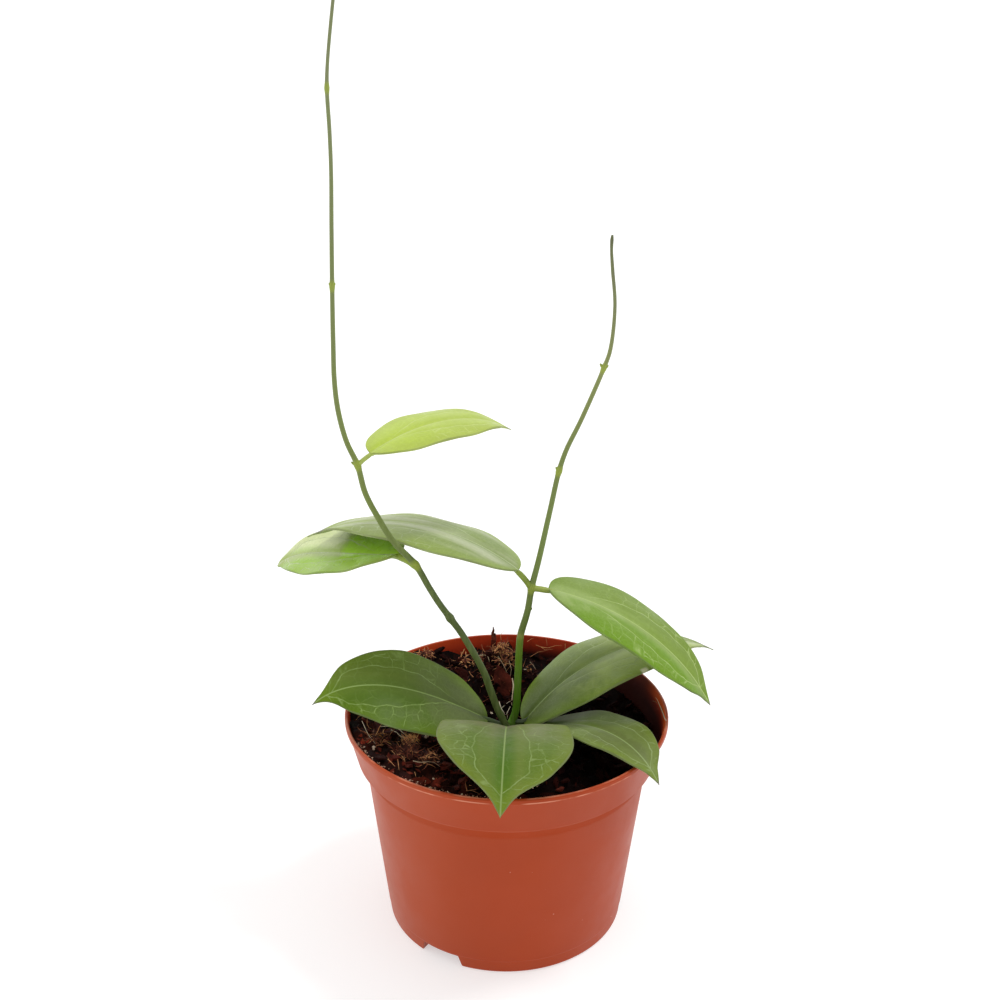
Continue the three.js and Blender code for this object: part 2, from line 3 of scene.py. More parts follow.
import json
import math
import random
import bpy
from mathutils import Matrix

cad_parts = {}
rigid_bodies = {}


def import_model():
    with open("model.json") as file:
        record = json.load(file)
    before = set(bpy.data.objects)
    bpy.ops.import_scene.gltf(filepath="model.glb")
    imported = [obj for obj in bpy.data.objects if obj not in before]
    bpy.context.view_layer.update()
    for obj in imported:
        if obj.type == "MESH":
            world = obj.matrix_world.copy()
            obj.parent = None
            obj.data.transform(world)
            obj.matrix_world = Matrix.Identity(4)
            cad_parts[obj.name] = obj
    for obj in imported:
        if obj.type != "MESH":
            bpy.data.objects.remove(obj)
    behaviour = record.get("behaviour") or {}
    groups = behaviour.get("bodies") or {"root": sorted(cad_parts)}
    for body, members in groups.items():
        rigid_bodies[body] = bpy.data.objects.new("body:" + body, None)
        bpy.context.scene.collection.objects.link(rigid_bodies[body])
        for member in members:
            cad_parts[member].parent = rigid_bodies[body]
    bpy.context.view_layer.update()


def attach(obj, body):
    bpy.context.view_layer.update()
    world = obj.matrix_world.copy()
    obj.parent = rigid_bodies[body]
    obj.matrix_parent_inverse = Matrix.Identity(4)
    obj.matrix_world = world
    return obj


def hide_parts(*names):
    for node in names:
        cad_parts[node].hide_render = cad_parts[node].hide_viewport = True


bl_info = {
    "name": "Potted Hoya",
    "version": (1, 0, 0),
    "blender": (4, 5, 0),
    "location": "3D View > Sidebar > Potted Hoya",
    "description": "Builds a young hoya in its nursery pot of potting mix, in a soft white studio",
    "category": "Add Mesh",
}

import bpy
import numpy as np
from bpy.props import FloatProperty, FloatVectorProperty, IntProperty, PointerProperty
from mathutils import Matrix, Vector, noise

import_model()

MM = 0.001

# Pot, as pairs of radius and height in millimetres from the foot up to the lip and down the inside
POT_OUTSIDE = [
    (44.2, 0), (44.85, 0.7), (45.37, 5.3), (45.56, 5.55), (52.5, 63.9), (55.9, 69.1),
    (59.3, 82.35), (60, 82.7), (60, 84.3), (59.6, 84.7),
]
POT_INSIDE = [(59.15, 84.7), (58.9, 84.4), (54.8, 69.1), (51.4, 63.9), (43.9, 1.4)]
# Drain notches in the foot, with the housing that stands round each one inside the pot
NOTCH_BEARINGS = (-122, -2, 118)
NOTCH = {
    "width": 18.5, "top": 15, "height": 5, "inner": 36, "outer": 55, "wall": 1.2, "reach": 44.6,
    "housing": 50, "floor": 0.6, "below": -1,
}
DRAIN_HOLE = {"radius": 2.5, "place": 40, "depth": 6}
# Bands on the pot's walls, as heights in metres between which they set in or end
SHOULDER_STARTS = (0.0632, 0.0645)
SHOULDER_ENDS = (0.0686, 0.0692)
STAINED_AND_SHADED_WALL = (0.0768, 0.0838)
LIT_WALL = (0.0802, 0.0842)
# Painted highlights, as broken pale lines round the pot, given as height, half width and strength
GLINT_LINES = ((0.083, 0.00032, 1.0), (0.08465, 0.00025, 0.55), (0.0692, 0.00018, 0.14))
POT_MARKS = {
    "dust": (0.11, 0.014, 0.007), "stain_and_shade": (0.016, 0.0016, 0.001), "lit": (0.95, 0.14, 0.02),
    "corner": (0.035, 0.005, 0.003), "shade_under_band": (0.2, 0.02, 0.004), "glint": (0.72, 0.29, 0.18),
    "speck": (0.75, 0.45, 0.34),
}

# Potting mix
MIX_HEIGHT = 77.5
MIX_HILLS = [
    (3, -3, 9, -4), (-3, 32, 10, 11), (-1.5, 32, 4.5, 6), (-35, -28, 7, 2.5), (-32, 42, 10, 3),
]
MIX_SIDES = 192
MIX_RINGS = 64
# Heights to which the rim of the mix is drawn down the pot's inside
MIX_WALL = (63.9, 1.7)
WALL_GAP = 0.3
# How far out the chips and the fibres lie, and how far they keep from the stems
CHIP_EDGE = 56.5
FIBRE_EDGE = 54
STEM_CLEARANCE = 4
STEM_FEET = ((0.6, -6), (1.8, 0.1))
CHIP_LENGTHS = (2.2, 7)
CRUMB_LENGTHS = (0.8, 2.4)
# Crumbs that lie on the lip, with their bearings in degrees
LIP_CRUMBS = {"bearing": (-155, -85), "away": (57.9, 59.1), "size": (0.2, 0.65), "height": (84.2, 84.7)}
# Where the mix has dried and lies in the light, in metres, and how far from there the darkening of
# damp peat and painted shade sets in
DRY_LIT_PLACE = (-0.036, -0.026, 0.082)
DAMP_AND_SHADE_FROM = (0.016, 0.034)
# Dark and light colour of each part of the mix, and the strength of its relief
PEAT = ((0.013, 0.0035, 0.0023), (0.125, 0.019, 0.0095), 0.7)
BARK = ((0.042, 0.0065, 0.004), (0.45, 0.06, 0.03), 0.6)
BARK_PIECE = ((0.016, 0.004, 0.003), (0.2, 0.034, 0.02), 0.6)
CRUMB = ((0.037, 0.006, 0.0037), (0.46, 0.068, 0.034), 0.4)
# Colours of the flecks and strands, from dark to light
FLECK = ((0.3, 0.12, 0.075), (0.5, 0.33, 0.23), (0.85, 0.7, 0.54))
COIR = ((0.05, 0.01, 0.006), (0.26, 0.072, 0.034), (0.9, 0.47, 0.2))
ROOT = ((0.2, 0.13, 0.06), (0.45, 0.34, 0.22), (0.85, 0.75, 0.6))
# Short lumps and long threads of a tangle, as ranges of the share of its spread and of the radius
LUMP = ((0.15, 0.35), (0.24, 0.46))
THREAD = ((0.5, 1.2), (0.08, 0.2))
# Tangles of fibre, as place, spread, number, brightness and how steeply they stand
TANGLES = [
    ((-35.5, -27.5, 82.4), 4.6, 260, 0.1, 0.9), ((-34.4, -21.5, 84), 2.4, 120, 1.2, 0.3),
    ((-46, -20, 83.3), 4.5, 90, 0.3, 0.15), ((-27.5, -29, 80.8), 4, 70, 0.3, 0.15),
    ((-1.5, 29, 89), 4, 150, 0.3, 0.8), ((-0.2, 30.2, 91.6), 3, 90, 0.6, 0.8),
    ((-3.6, 29.8, 93), 2.6, 70, 0.45, 0.9), ((-1, 30.5, 94.4), 2.4, 60, 0.75, 0.9),
    ((-32, 43.5, 83.4), 3.2, 130, 0.35, 0.25), ((8, 31, 83.6), 1.8, 36, 0.75, 0.7),
    ((-9, 32, 87.5), 3, 60, 0.5, 0.4), ((-16, 40, 82.5), 4, 50, 0.4, 0.3),
]
# Chips that stand out, as place, length, width, depth, lean, turn and brightness
BARK_PIECES = [
    ((-0.9, 20.4, 83.6), 11.5, 6.2, 3.4, 62, 118, 0.5), ((-5, 32, 95.9), 5.2, 2.5, 1.9, 84, 14, 0.4),
    ((-21, -32.3, 79.6), 4.4, 1.3, 0.9, 8, 32, 1.0), ((-15.6, -39.8, 78.6), 2.6, 2, 1.5, 10, 60, 1.0),
    ((18.6, -43, 77.8), 2.6, 1.5, 0.9, 12, 15, 0.45), ((-18.4, 40, 83.3), 2.4, 1.6, 1.4, 40, 0, 1.0),
    ((-8.5, 30, 88.4), 3.6, 1.5, 1, 30, 20, 0.9), ((-1, 31.5, 89.4), 7, 5, 4.5, 74, 40, 0.3),
    ((-5.4, 26.5, 86), 6, 4, 3, 50, 150, 0.15), ((4, 27.5, 84.6), 5, 3.6, 3, 40, 70, 0.2),
]
PALE_FLECKS = [
    (-47.5, -26.5, 83.6, 1.7), (-50, -27.6, 82.9, 1.3), (-51, -25.8, 83.4, 1), (-24.3, -30, 80.5, 0.9),
    (-28.3, -43, 80.6, 0.9), (-30.6, -44.2, 81.1, 0.8), (-25.6, -41, 80.3, 1), (-29, -15.2, 81.7, 1.3),
    (-29.6, -12.8, 81.6, 0.9), (8.9, -43.8, 78.7, 0.7), (10.6, -42.6, 78.6, 0.6), (7.3, 27.9, 85.6, 0.8),
    (-5.5, 7.9, 77.6, 1.1),
]
# Roots and lone fibres, as radius, brightness and places
PALE_ROOTS = [
    (0.17, 0.95, [(-46, -13.4, 84.6), (-43.5, -13.6, 84.9), (-40.9, -14, 84.9), (-38.6, -15.8, 84.6),
                 (-36.9, -18.2, 84.5), (-35.6, -21, 84.8)]),
    (0.15, 0.85, [(-41.9, -15.4, 84.4), (-39.9, -17, 84.5), (-38.3, -19.6, 84.5), (-36.3, -21.6, 84.7)]),
    (0.13, 0.75, [(-53.1, -8.4, 83.9), (-51.6, -13.3, 84.1), (-50, -18.2, 84.3), (-48.3, -21.8, 84.2),
                 (-46.6, -24.8, 84.1)]),
    (0.2, 0.45, [(-32.9, -34.1, 83.3), (-30.4, -34.2, 82.7), (-27.7, -32.5, 82), (-25.6, -32, 81.4),
                 (-23.5, -33.3, 80.6)]),
    (0.3, 0.6, [(2.2, 21.7, 85.2), (2.7, 18.9, 83.6), (2.3, 15.8, 81.6), (2, 12, 79)]),
    (0.28, 0.35, [(-12, 33, 88), (-10.4, 31.9, 89.6), (-8.6, 31, 90.4), (-7.2, 28.7, 90.8),
                  (-6.6, 27, 89.6)]),
    (0.16, 0.5, [(-3.3, 26.8, 92), (-1.8, 25.3, 90.4), (-0.6, 23.8, 88.6), (0.6, 22.1, 86.6)]),
    (0.15, 0.4, [(1, 26.3, 90.4), (1.9, 23.9, 88), (1.4, 21.2, 85.6)]),
    (0.13, 1, [(-5.1, 11.8, 79.9), (-4.5, 10.5, 79.8), (-4, 9, 78.4)]),
    (0.15, 1, [(-2.8, 12.4, 80.3), (-2.1, 9.8, 79.3), (-0.5, 7.4, 77.6)]),
    (0.12, 0.9, [(-1.7, 10.3, 78.9), (0.6, 12.4, 80), (1.8, 13.5, 80.1)]),
    (0.12, 0.9, [(1.4, 10.5, 79.2), (0.2, 7.4, 78.2), (0.4, 5.5, 77)]),
    (0.13, 0.5, [(9.4, 37.1, 84), (10.6, 35, 83.8), (11.7, 33, 82.8)]),
    (0.2, 1, [(58.5, -8.7, 84.95), (58.2, -5.5, 84.4), (58.3, -1.1, 83.4), (57.9, 4.7, 82.9),
              (57.3, 9.9, 82.8), (56.8, 12.2, 82.7)]),
    (0.1, 0.3, [(55.9, 13.1, 80.6), (56.7, 10.6, 81.6), (57.3, 8.2, 82.3)]),
]
LONE_FIBRES = [
    (0.95, 0.22, [(-5, 32, 94), (-5.1, 32.1, 96.6), (-5.5, 32, 99.2), (-5.1, 31.9, 100.8),
                  (-5.3, 32, 102.2)]),
    (0.12, 0.5, [(-48.7, -16.7, 84), (-47, -15.9, 84), (-45.7, -13.6, 83.9)]),
    (0.12, 0.5, [(-45, -14.2, 83.9), (-42.7, -14.7, 83.8), (-41.1, -12.8, 83.5)]),
    (0.15, 0.8, [(-41.6, -34.4, 84.2), (-40.5, -35.9, 84), (-38.9, -37.8, 83.4)]),
    (0.14, 0.7, [(-38.6, -31.7, 84.6), (-38, -35.7, 84), (-37.4, -39.6, 83.1)]),
    (0.2, 0.9, [(-16.6, 40, 88.2), (-17.6, 40, 86), (-18.3, 40, 83.4)]),
    (0.1, 0.8, [(8.4, 50, 86.3), (9.8, 50.2, 87.3), (11.2, 50, 88.1)]),
    (0.1, 0.9, [(12, 50, 84.8), (14.5, 50, 83.8), (16.9, 50, 83.5), (20.1, 50, 84.6), (22.6, 49.5, 85)]),
    (0.1, 0.8, [(14.1, 49.8, 84), (15.7, 50, 82.6), (19, 50, 83)]),
    (0.1, 0.7, [(16, 51, 87.6), (16.4, 50.5, 85.6), (16.5, 50, 84.4)]),
    (0.1, 0.8, [(23.8, 49.5, 85.8), (23.9, 49, 83.5)]),
    (0.11, 0.6, [(9.7, 48, 80.4), (12.9, 48.5, 82.4), (16.9, 49, 83)]),
]

# Stems, as place, radius and the name of the node that stands there
TALL_STEM = [
    (2.2, -5.9, 52, 1.2, ""), (1.2, -6, 70, 1.35, ""), (0.1, -6, 79.6, 1.35, "low"),
    (-3.2, -6.1, 87.6, 1.3, ""), (-6.1, -6.1, 96.2, 1.3, ""), (-8.5, -6.2, 103.6, 1.25, ""),
    (-16.3, -6.3, 118.9, 1.2, ""), (-20.5, -6.5, 125.4, 1.2, "bare"), (-24.4, -6.8, 131.5, 1.15, ""),
    (-27.7, -7.1, 137.5, 1.15, ""), (-32.4, -7.5, 146.6, 1.15, "middle"), (-39.8, -8.1, 155.6, 1.1, ""),
    (-44.8, -7.7, 164.1, 1.05, ""), (-49.3, -7.2, 173.6, 1, ""), (-51.7, -6.9, 183.8, 1, "upper"),
    (-55.1, -7, 192.2, 0.9, ""), (-57.5, -7, 202.9, 0.9, ""), (-58.4, -7, 213.4, 0.85, ""),
    (-58.3, -7, 227.2, 0.8, ""), (-57.9, -7, 246, 0.75, "high"), (-57.3, -7, 266.8, 0.7, ""),
    (-56.8, -7, 282.6, 0.65, ""), (-56.8, -7, 294.9, 0.65, ""), (-57.1, -7, 308.2, 0.65, "top"),
    (-56.6, -7, 315.9, 0.55, ""), (-54.3, -7, 333.3, 0.55, ""), (-53.1, -7, 341, 0.5, ""),
    (-52.7, -7, 344.8, 0.35, ""),
]
SHORT_STEM = [
    (-0.6, 1.2, 52, 1.2, ""), (0.4, 0.5, 70, 1.35, ""), (2.1, 0.1, 78.4, 1.4, "low"),
    (3.5, 0, 84.4, 1.4, ""), (4.1, -0.1, 98.8, 1.35, ""), (4.5, -0.3, 111, 1.3, ""),
    (4.9, -0.4, 115.6, 1.3, "scar"), (7.3, -0.9, 125.6, 1.2, "bump"), (8.6, -1.2, 134.9, 1.15, "middle"),
    (11, -1.3, 146, 1.05, ""), (14.7, -1.6, 165.4, 0.95, ""), (17.5, -2, 180.2, 0.9, "high"),
    (19.8, -2.1, 187.9, 0.85, ""), (24.6, -2.5, 199, 0.8, ""), (31.7, -3, 217.6, 0.75, "top"),
    (33.6, -3.2, 223.9, 0.7, ""), (34.6, -3.6, 239, 0.6, ""), (33.4, -3.9, 251.1, 0.6, ""),
    (32.8, -4, 257.7, 0.5, ""), (32.8, -4.2, 261, 0.6, ""), (32.9, -4.2, 262.6, 0.35, ""),
]
FLAT_NODES = ("scar", "bump")
DARK_NODES = ("low", "bare", "bump", "scar")
# How much a node swells, and how far along the stem
NODE_SWELL = 0.32
NODE_REACH = 1.3
BUD_RADIUS = 0.62
BUD_CURVE = 0.35
# Buds and scars beside the nodes, as node, bearing, rise and length
TALL_BUDS = [("upper", 180, 10, 2.2), ("high", 0, 30, 1.2), ("high", 180, 30, 1.2)]
SHORT_BUDS = [
    ("bump", -5, 25, 1.8), ("high", 170, 35, 1.5), ("high", -10, 35, 1.5), ("top", 175, 35, 1.7),
    ("top", -10, 20, 1.6),
]

# Colours up the stems, placed by their share of the way between two heights in metres
SKIN_HEIGHTS = (0.07, 0.35)
TALL_SKIN = [
    (0.0, (0.09, 0.12, 0.035)), (0.24, (0.09, 0.125, 0.03)), (0.36, (0.17, 0.22, 0.045)),
    (0.5, (0.18, 0.22, 0.065)), (0.68, (0.18, 0.21, 0.08)), (0.85, (0.21, 0.24, 0.11)),
    (1.0, (0.2, 0.2, 0.12)),
]
SHORT_SKIN = [
    (0.0, (0.075, 0.17, 0.015)), (0.06, (0.1, 0.25, 0.01)), (0.155, (0.13, 0.23, 0.012)),
    (0.163, (0.27, 0.3, 0.06)), (0.17, (0.12, 0.17, 0.03)), (0.3, (0.18, 0.24, 0.06)),
    (0.4, (0.17, 0.215, 0.055)), (0.52, (0.24, 0.27, 0.09)), (0.64, (0.17, 0.18, 0.09)),
    (0.69, (0.09, 0.085, 0.055)),
]
STEM_STREAK = (0.2, 0.26, 0.08)
STEM_SPECK = (0.5, 0.55, 0.25)

# Leaves, in millimetres and degrees, with the form values of their solids: where the petiole
# springs, where the blade begins, how the midrib heads, rises and turns, the outline, and how the
# blade rolls, folds and arches. The last row shapes the end: pinch narrows it by a share between
# two places, and tip, thread and blunt keep it from getting too thin. The solid of the rear left
# leaf has a slightly narrower end
LEAVES = {
    "low_left": dict(
        springs=(-0.2, -6, 80.2), petiole=1.2, base=(-6.9, -5, 83.4), heading=194.5, sweep=-4,
        rise=33.5, bend=-13.5, hook=-62, length=70.3, width=36.1, widest=0.46, point=1.07,
        roll=-21, twist=-6, fold=0.02, arch=0.06, skew=0,
        tip=26, pinch=(0.5, 0.8, 0.96)),
    "low_front": dict(
        springs=(0.2, -6, 79), petiole=1.2, base=(0.4, -9.8, 80.9), heading=-91.8, sweep=0,
        rise=44, bend=-73, hook=26.5, length=90.9, width=46.5, widest=0.48, point=1.36,
        roll=0, twist=-9, fold=0.19, arch=0.13, skew=0,
        tip=36, pinch=(0.3, 0.74, 0.9)),
    "low_back": dict(
        springs=(2.3, 0.1, 79.4), petiole=1.1, base=(6.2, -1, 79.4), heading=18.5, sweep=8,
        rise=52, bend=-80.5, hook=-6.5, length=90.3, width=40.9, widest=0.45, point=1.3,
        roll=-4, twist=-5.5, fold=0.18, arch=0.25, skew=0,
        tip=12, thread=0.3, pinch=(0.6, 0.86, 0.96)),
    "low_right": dict(
        springs=(1.8, 0.1, 76.2), petiole=1.1, base=(13.6, -2.9, 79.4), bow=(0, -4, 0),
        heading=-37.8, sweep=-19, rise=28, bend=-33, hook=-40, length=61.4, width=26.3,
        widest=0.53, point=1.09, roll=-1, twist=-5, fold=0.12, arch=0.08, skew=0.06,
        tip=30, pinch=(0.42, 0.8, 0.95)),
    "middle_right": dict(
        springs=(8.6, -1.2, 134.9), petiole=1.1, base=(14.9, -1.2, 134.9), heading=4, sweep=-16,
        rise=-15, bend=-41.3, hook=-6, length=78.1, width=35.1, widest=0.39, point=0.95,
        roll=4.5, twist=9.5, fold=0.12, arch=0.18, skew=0.04,
        tip=18, pinch=(0.35, 0.84, 0.97)),
    "middle_left": dict(
        springs=(8.6, -1.2, 134.9), petiole=1.1, base=(4, -1.2, 142.4), heading=155.3, sweep=12,
        rise=29, bend=-56.2, hook=-2, length=87, width=39.5, widest=0.43, point=1.34,
        roll=10, twist=-1, fold=0.14, arch=0.24, skew=0.03,
        tip=6, thread=0.32, pinch=(0.5, 0.82, 0.94)),
    "rear_left": dict(
        springs=(-32.4, -7.5, 146.6), petiole=1.4, base=(-38.9, -2.6, 149), heading=145, sweep=-4.4,
        rise=-17.6, bend=16.4, hook=-40.6, length=66.2, width=29.8, widest=0.45, point=0.95,
        roll=-4.4, twist=-28.3, fold=0.09, arch=0.07, skew=-0.12,
        tip=0, pinch=(0, 0.8, 0.9), blunt=14),
    "young": dict(
        springs=(-51.7, -6.9, 183.8), petiole=0.8, base=(-47.3, -6, 188.2), heading=39, sweep=-8.3,
        rise=19.7, bend=-37.3, hook=-17.5, length=61.5, width=27.4, widest=0.44, point=1.04,
        roll=1.4, twist=5, fold=0.12, arch=0.22, skew=0.05,
        tip=10, pinch=(0.55, 0.84, 0.97)),
}
# Colours of the blade's heart, middle and margin, of its veins and of its petiole; the greyer hearts
# are partly the leaves' own grey and partly painted sheen. Streak says how much the satin streaks of
# painted sheen cover, and dry where the brown end begins. Each half paints light or shade on a side of
# the midrib and gives that side, a colour, its share, and where along the blade it sets in. Dull and
# shine are the roughness and the gloss, rim is how green the margin is, dust adds pale specks, and
# satin is the painted sheen streaks' own colour. A scar is a torn place, given by its side and its
# place along the blade
LEAF_TINTS = {
    "low_left": dict(
        heart=(0.115, 0.15, 0.046), blade=(0.096, 0.155, 0.018), edge=(0.12, 0.2, 0.004),
        vein=(0.25, 0.35, 0.1), stalk=(0.05, 0.085, 0.018), streak=0.06, dull=0.44, shine=0.13,
        lit_and_shaded_halves=[(-1, (0.145, 0.2, 0.034), 0.55, 0.02, 0.5), (1, (0.06, 0.12, 0.002), 0.6, 0.3, 0.5)]),
    "low_front": dict(
        heart=(0.15, 0.146, 0.074), blade=(0.058, 0.128, 0.001), edge=(0.13, 0.19, 0.008),
        vein=(0.22, 0.3, 0.09), stalk=(0.05, 0.085, 0.018), streak=0.1, dull=0.44, shine=0.14,
        lit_and_shaded_halves=[(1, (0.165, 0.2, 0.032), 0.45, 0.05, 0.3), (-1, (0.165, 0.19, 0.03), 0.34, 0.05, 0.3)],
        dry=1.2),
    "low_back": dict(
        heart=(0.078, 0.124, 0.006), blade=(0.22, 0.29, 0.056), edge=(0.14, 0.22, 0.014),
        vein=(0.29, 0.37, 0.14), stalk=(0.04, 0.07, 0.014), streak=0.3, shine=0.24,
        lit_and_shaded_halves=[(-1, (0.36, 0.45, 0.115), 0.85, 0.19, 0.58)], dry=0.9, dust=0.14, scar=(-1, 0.517)),
    "low_right": dict(
        heart=(0.17, 0.255, 0.029), blade=(0.118, 0.15, 0.038), edge=(0.155, 0.225, 0.017),
        vein=(0.26, 0.34, 0.12), stalk=(0.04, 0.07, 0.014), streak=0.2, shine=0.24),
    "middle_right": dict(
        heart=(0.275, 0.375, 0.105), blade=(0.19, 0.285, 0.04), edge=(0.13, 0.23, 0.008),
        vein=(0.38, 0.5, 0.16), stalk=(0.26, 0.32, 0.05), streak=0.5, shine=0.2, rim=0.6,
        lit_and_shaded_halves=[(-1, (0.13, 0.26, 0.001), 0.9, 0.04, 0.2), (1, (0.15, 0.235, 0.02), 0.75, -0.4, -0.1)]),
    "middle_left": dict(
        heart=(0.2, 0.27, 0.07), blade=(0.285, 0.355, 0.11), edge=(0.27, 0.36, 0.075),
        vein=(0.44, 0.52, 0.27), stalk=(0.235, 0.31, 0.04), streak=0.85, satin=(0.43, 0.47, 0.29),
        dry=0.9),
    "rear_left": dict(
        heart=(0.32, 0.58, 0.03), blade=(0.33, 0.42, 0.12), edge=(0.25, 0.35, 0.012),
        vein=(0.42, 0.5, 0.24), stalk=(0.22, 0.3, 0.025), streak=0.5, dull=0.26, shine=0.36,
        lit_and_shaded_halves=[(-1, (0.6, 0.66, 0.34), 0.9, 0.4, 0.5), (1, (0.24, 0.43, 0.001), 0.9, 0.1, 0.3)],
        heart_reach=(0.34, 0.46), dry=1.0),
    # The young leaf's pale bright colours are partly its own and partly painted light shining through it
    "young": dict(
        heart=(0.42, 0.54, 0.06), blade=(0.385, 0.49, 0.066), edge=(0.38, 0.47, 0.07),
        vein=(0.52, 0.62, 0.18), stalk=(0.38, 0.46, 0.1), streak=0.5, dry=0.945),
}
BLADE_COLUMNS = 44
BLADE_ROWS = 104
# Thickness at the midrib, what it loses towards the margin, and the height of the margin's waves
BLADE_THICKNESS = 1.15
BLADE_THINNING = 0.35
BLADE_WAVES = 0.45
# Groove over the midrib, keel under it and groove over each side vein, as depth and half width
GROOVE = (0.3, 0.9)
KEEL = (0.7, 1.2)
VEIN_GROOVE = (0.1, 1.2)
MARGIN_ROUNDING = 0.55
MARGIN_SHADE = (0.16, 0.17, 0.1)
DRY_TINT = (0.12, 0.11, 0.085)
TORN_TINT = (0.85, 0.78, 0.62)
# The long side vein on either side of the midrib, as share of the length and of the half width
SIDE_VEIN = [
    (0, 0), (0.1, 0), (0.21, 0.15), (0.32, 0.31), (0.42, 0.42), (0.52, 0.48), (0.62, 0.55), (0.72, 0.58),
    (0.8, 0.6), (0.845, 0.44), (0.88, 0.16), (0.9, 0), (1, 0),
]
SIDE_VEINS = {
    "low_left": (
        [(0, 0), (0.12, 0), (0.212, 0.15), (0.275, 0.23), (0.325, 0.32), (0.395, 0.43), (0.46, 0.45),
         (0.585, 0.52), (0.682, 0.57), (0.74, 0.58), (0.81, 0.6), (0.838, 0.45), (0.872, 0.15),
         (0.885, 0), (1, 0)],
        [(0, 0), (0.195, 0), (0.265, 0.07), (0.323, 0.17), (0.388, 0.28), (0.443, 0.35), (0.515, 0.47),
         (0.585, 0.52), (0.652, 0.57), (0.735, 0.62), (0.81, 0.67), (0.838, 0.58), (0.89, 0.38),
         (0.915, 0), (1, 0)]),
    "low_front": (
        [(0, 0), (0.1, 0), (0.25, 0.2), (0.43, 0.37), (0.55, 0.45), (0.64, 0.5), (0.75, 0.57), (0.82, 0.53),
         (0.868, 0.2), (0.885, 0), (1, 0)],
        [(0, 0), (0.1, 0), (0.28, 0.2), (0.48, 0.33), (0.6, 0.4), (0.68, 0.48), (0.74, 0.52), (0.8, 0.42),
         (0.84, 0.3), (0.87, 0), (1, 0)]),
}

# Camera, as place in millimetres and turns and lens as found from the photograph
CAMERA_PLACE = (-2.893, -460.87, 355.20)
CAMERA_PITCH = 22.065
CAMERA_ROLL = 0.331
SENSOR_WIDTH = 36
# Studio, in metres and degrees. The key light's bearing is counted from +X
FLOOR_SIZE = 30
VIEW_REACH = 60
KEY_BEARING = 10
KEY_HEIGHT = 66
KEY_SPREAD = 12
# Brightness of the surround at the horizon, just above one so that the background is pure white
HORIZON = 1.03


def mm(x, y, z):
    """A place given in millimetres, in Blender's metres."""
    return Vector((x, y, z)) * MM


def smooth(value, low, high):
    """Eases from 0 at the low value to 1 at the high one."""
    share = min(1.0, max(0.0, (value - low) / (high - low)))
    return share * share * (3 - 2 * share)


def scaled(colour, share):
    return [share * each for each in colour]


def mixed(first, second, share):
    return [(1 - share) * a + share * b for a, b in zip(first, second)]


def direction(bearing, rise):
    """The way that heads along a bearing from +X and rises, both in radians."""
    return math.cos(rise) * math.cos(bearing), math.cos(rise) * math.sin(bearing), math.sin(rise)


# Ways to work as by hand
def deselect_all():
    if bpy.context.object and bpy.context.object.mode != "OBJECT":
        bpy.ops.object.mode_set(mode="OBJECT")
    for each in bpy.context.view_layer.objects:
        each.select_set(False)
    bpy.context.view_layer.objects.active = None


def pick(piece):
    deselect_all()
    piece.select_set(True)
    bpy.context.view_layer.objects.active = piece


def settle(piece):
    """Moves the piece's place, turn and scale into its mesh."""
    pick(piece)
    bpy.ops.object.transform_apply(location=True, rotation=True, scale=True)


def modify(piece, kind, **settings):
    """Adds a modifier and applies it."""
    pick(piece)
    modifier = piece.modifiers.new(kind.title(), kind)
    for name, value in settings.items():
        setattr(modifier, name, value)
    bpy.ops.object.modifier_apply(modifier=modifier.name)


def join(pieces, name):
    pick(pieces[0])
    for piece in pieces[1:]:
        piece.select_set(True)
    if len(pieces) > 1:
        bpy.ops.object.join()
    joined = bpy.context.view_layer.objects.active
    joined.name = name
    joined.data.name = name
    return joined


def hand_over(piece, slot, *nodes):
    """Lets a finished piece ride on the part and stand for the nodes that it covers."""
    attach(piece, "root")
    if nodes:
        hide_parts(*nodes)


def dress(piece, finish, slot, *nodes):
    """Gives a piece its one finish and hands it over."""
    piece.data.materials.append(finish)
    hand_over(piece, slot, *nodes)


def mark(piece, name, values):
    """Stores one number for each of the piece's vertices."""
    layer = piece.data.attributes.new(name, "FLOAT", "POINT")
    layer.data.foreach_set("value", np.asarray(values, np.float32))


def corners_of(piece):
    places = np.empty(len(piece.data.vertices) * 3, np.float32)
    piece.data.vertices.foreach_get("co", places)
    return places.reshape(-1, 3)


def move_corners(piece, places):
    piece.data.vertices.foreach_set("co", np.asarray(places, np.float32).ravel())
    piece.data.update()


def add_object(name, data):
    piece = bpy.data.objects.new(name, data)
    bpy.context.scene.collection.objects.link(piece)
    return piece


def tubes(name, lines, resolution, capped=False):
    """Round tubes as one piece, each given by its places in millimetres and a radius at each."""
    curve = bpy.data.curves.new(name, "CURVE")
    curve.dimensions = "3D"
    curve.bevel_depth = MM
    curve.bevel_resolution = resolution
    curve.use_fill_caps = capped
    for places, radii in lines:
        spline = curve.splines.new("POLY")
        spline.points.add(len(places) - 1)
        for point, place, radius in zip(spline.points, places, radii):
            point.co = (*mm(*place), 1)
            point.radius = radius
    pick(add_object(name, curve))
    bpy.ops.object.convert(target="MESH")
    return bpy.context.view_layer.objects.active


def tube(name, places, radii, sides):
    """One closed tube with an even number of sides."""
    return tubes(name, [(places, radii)], sides // 2 - 2, capped=True)


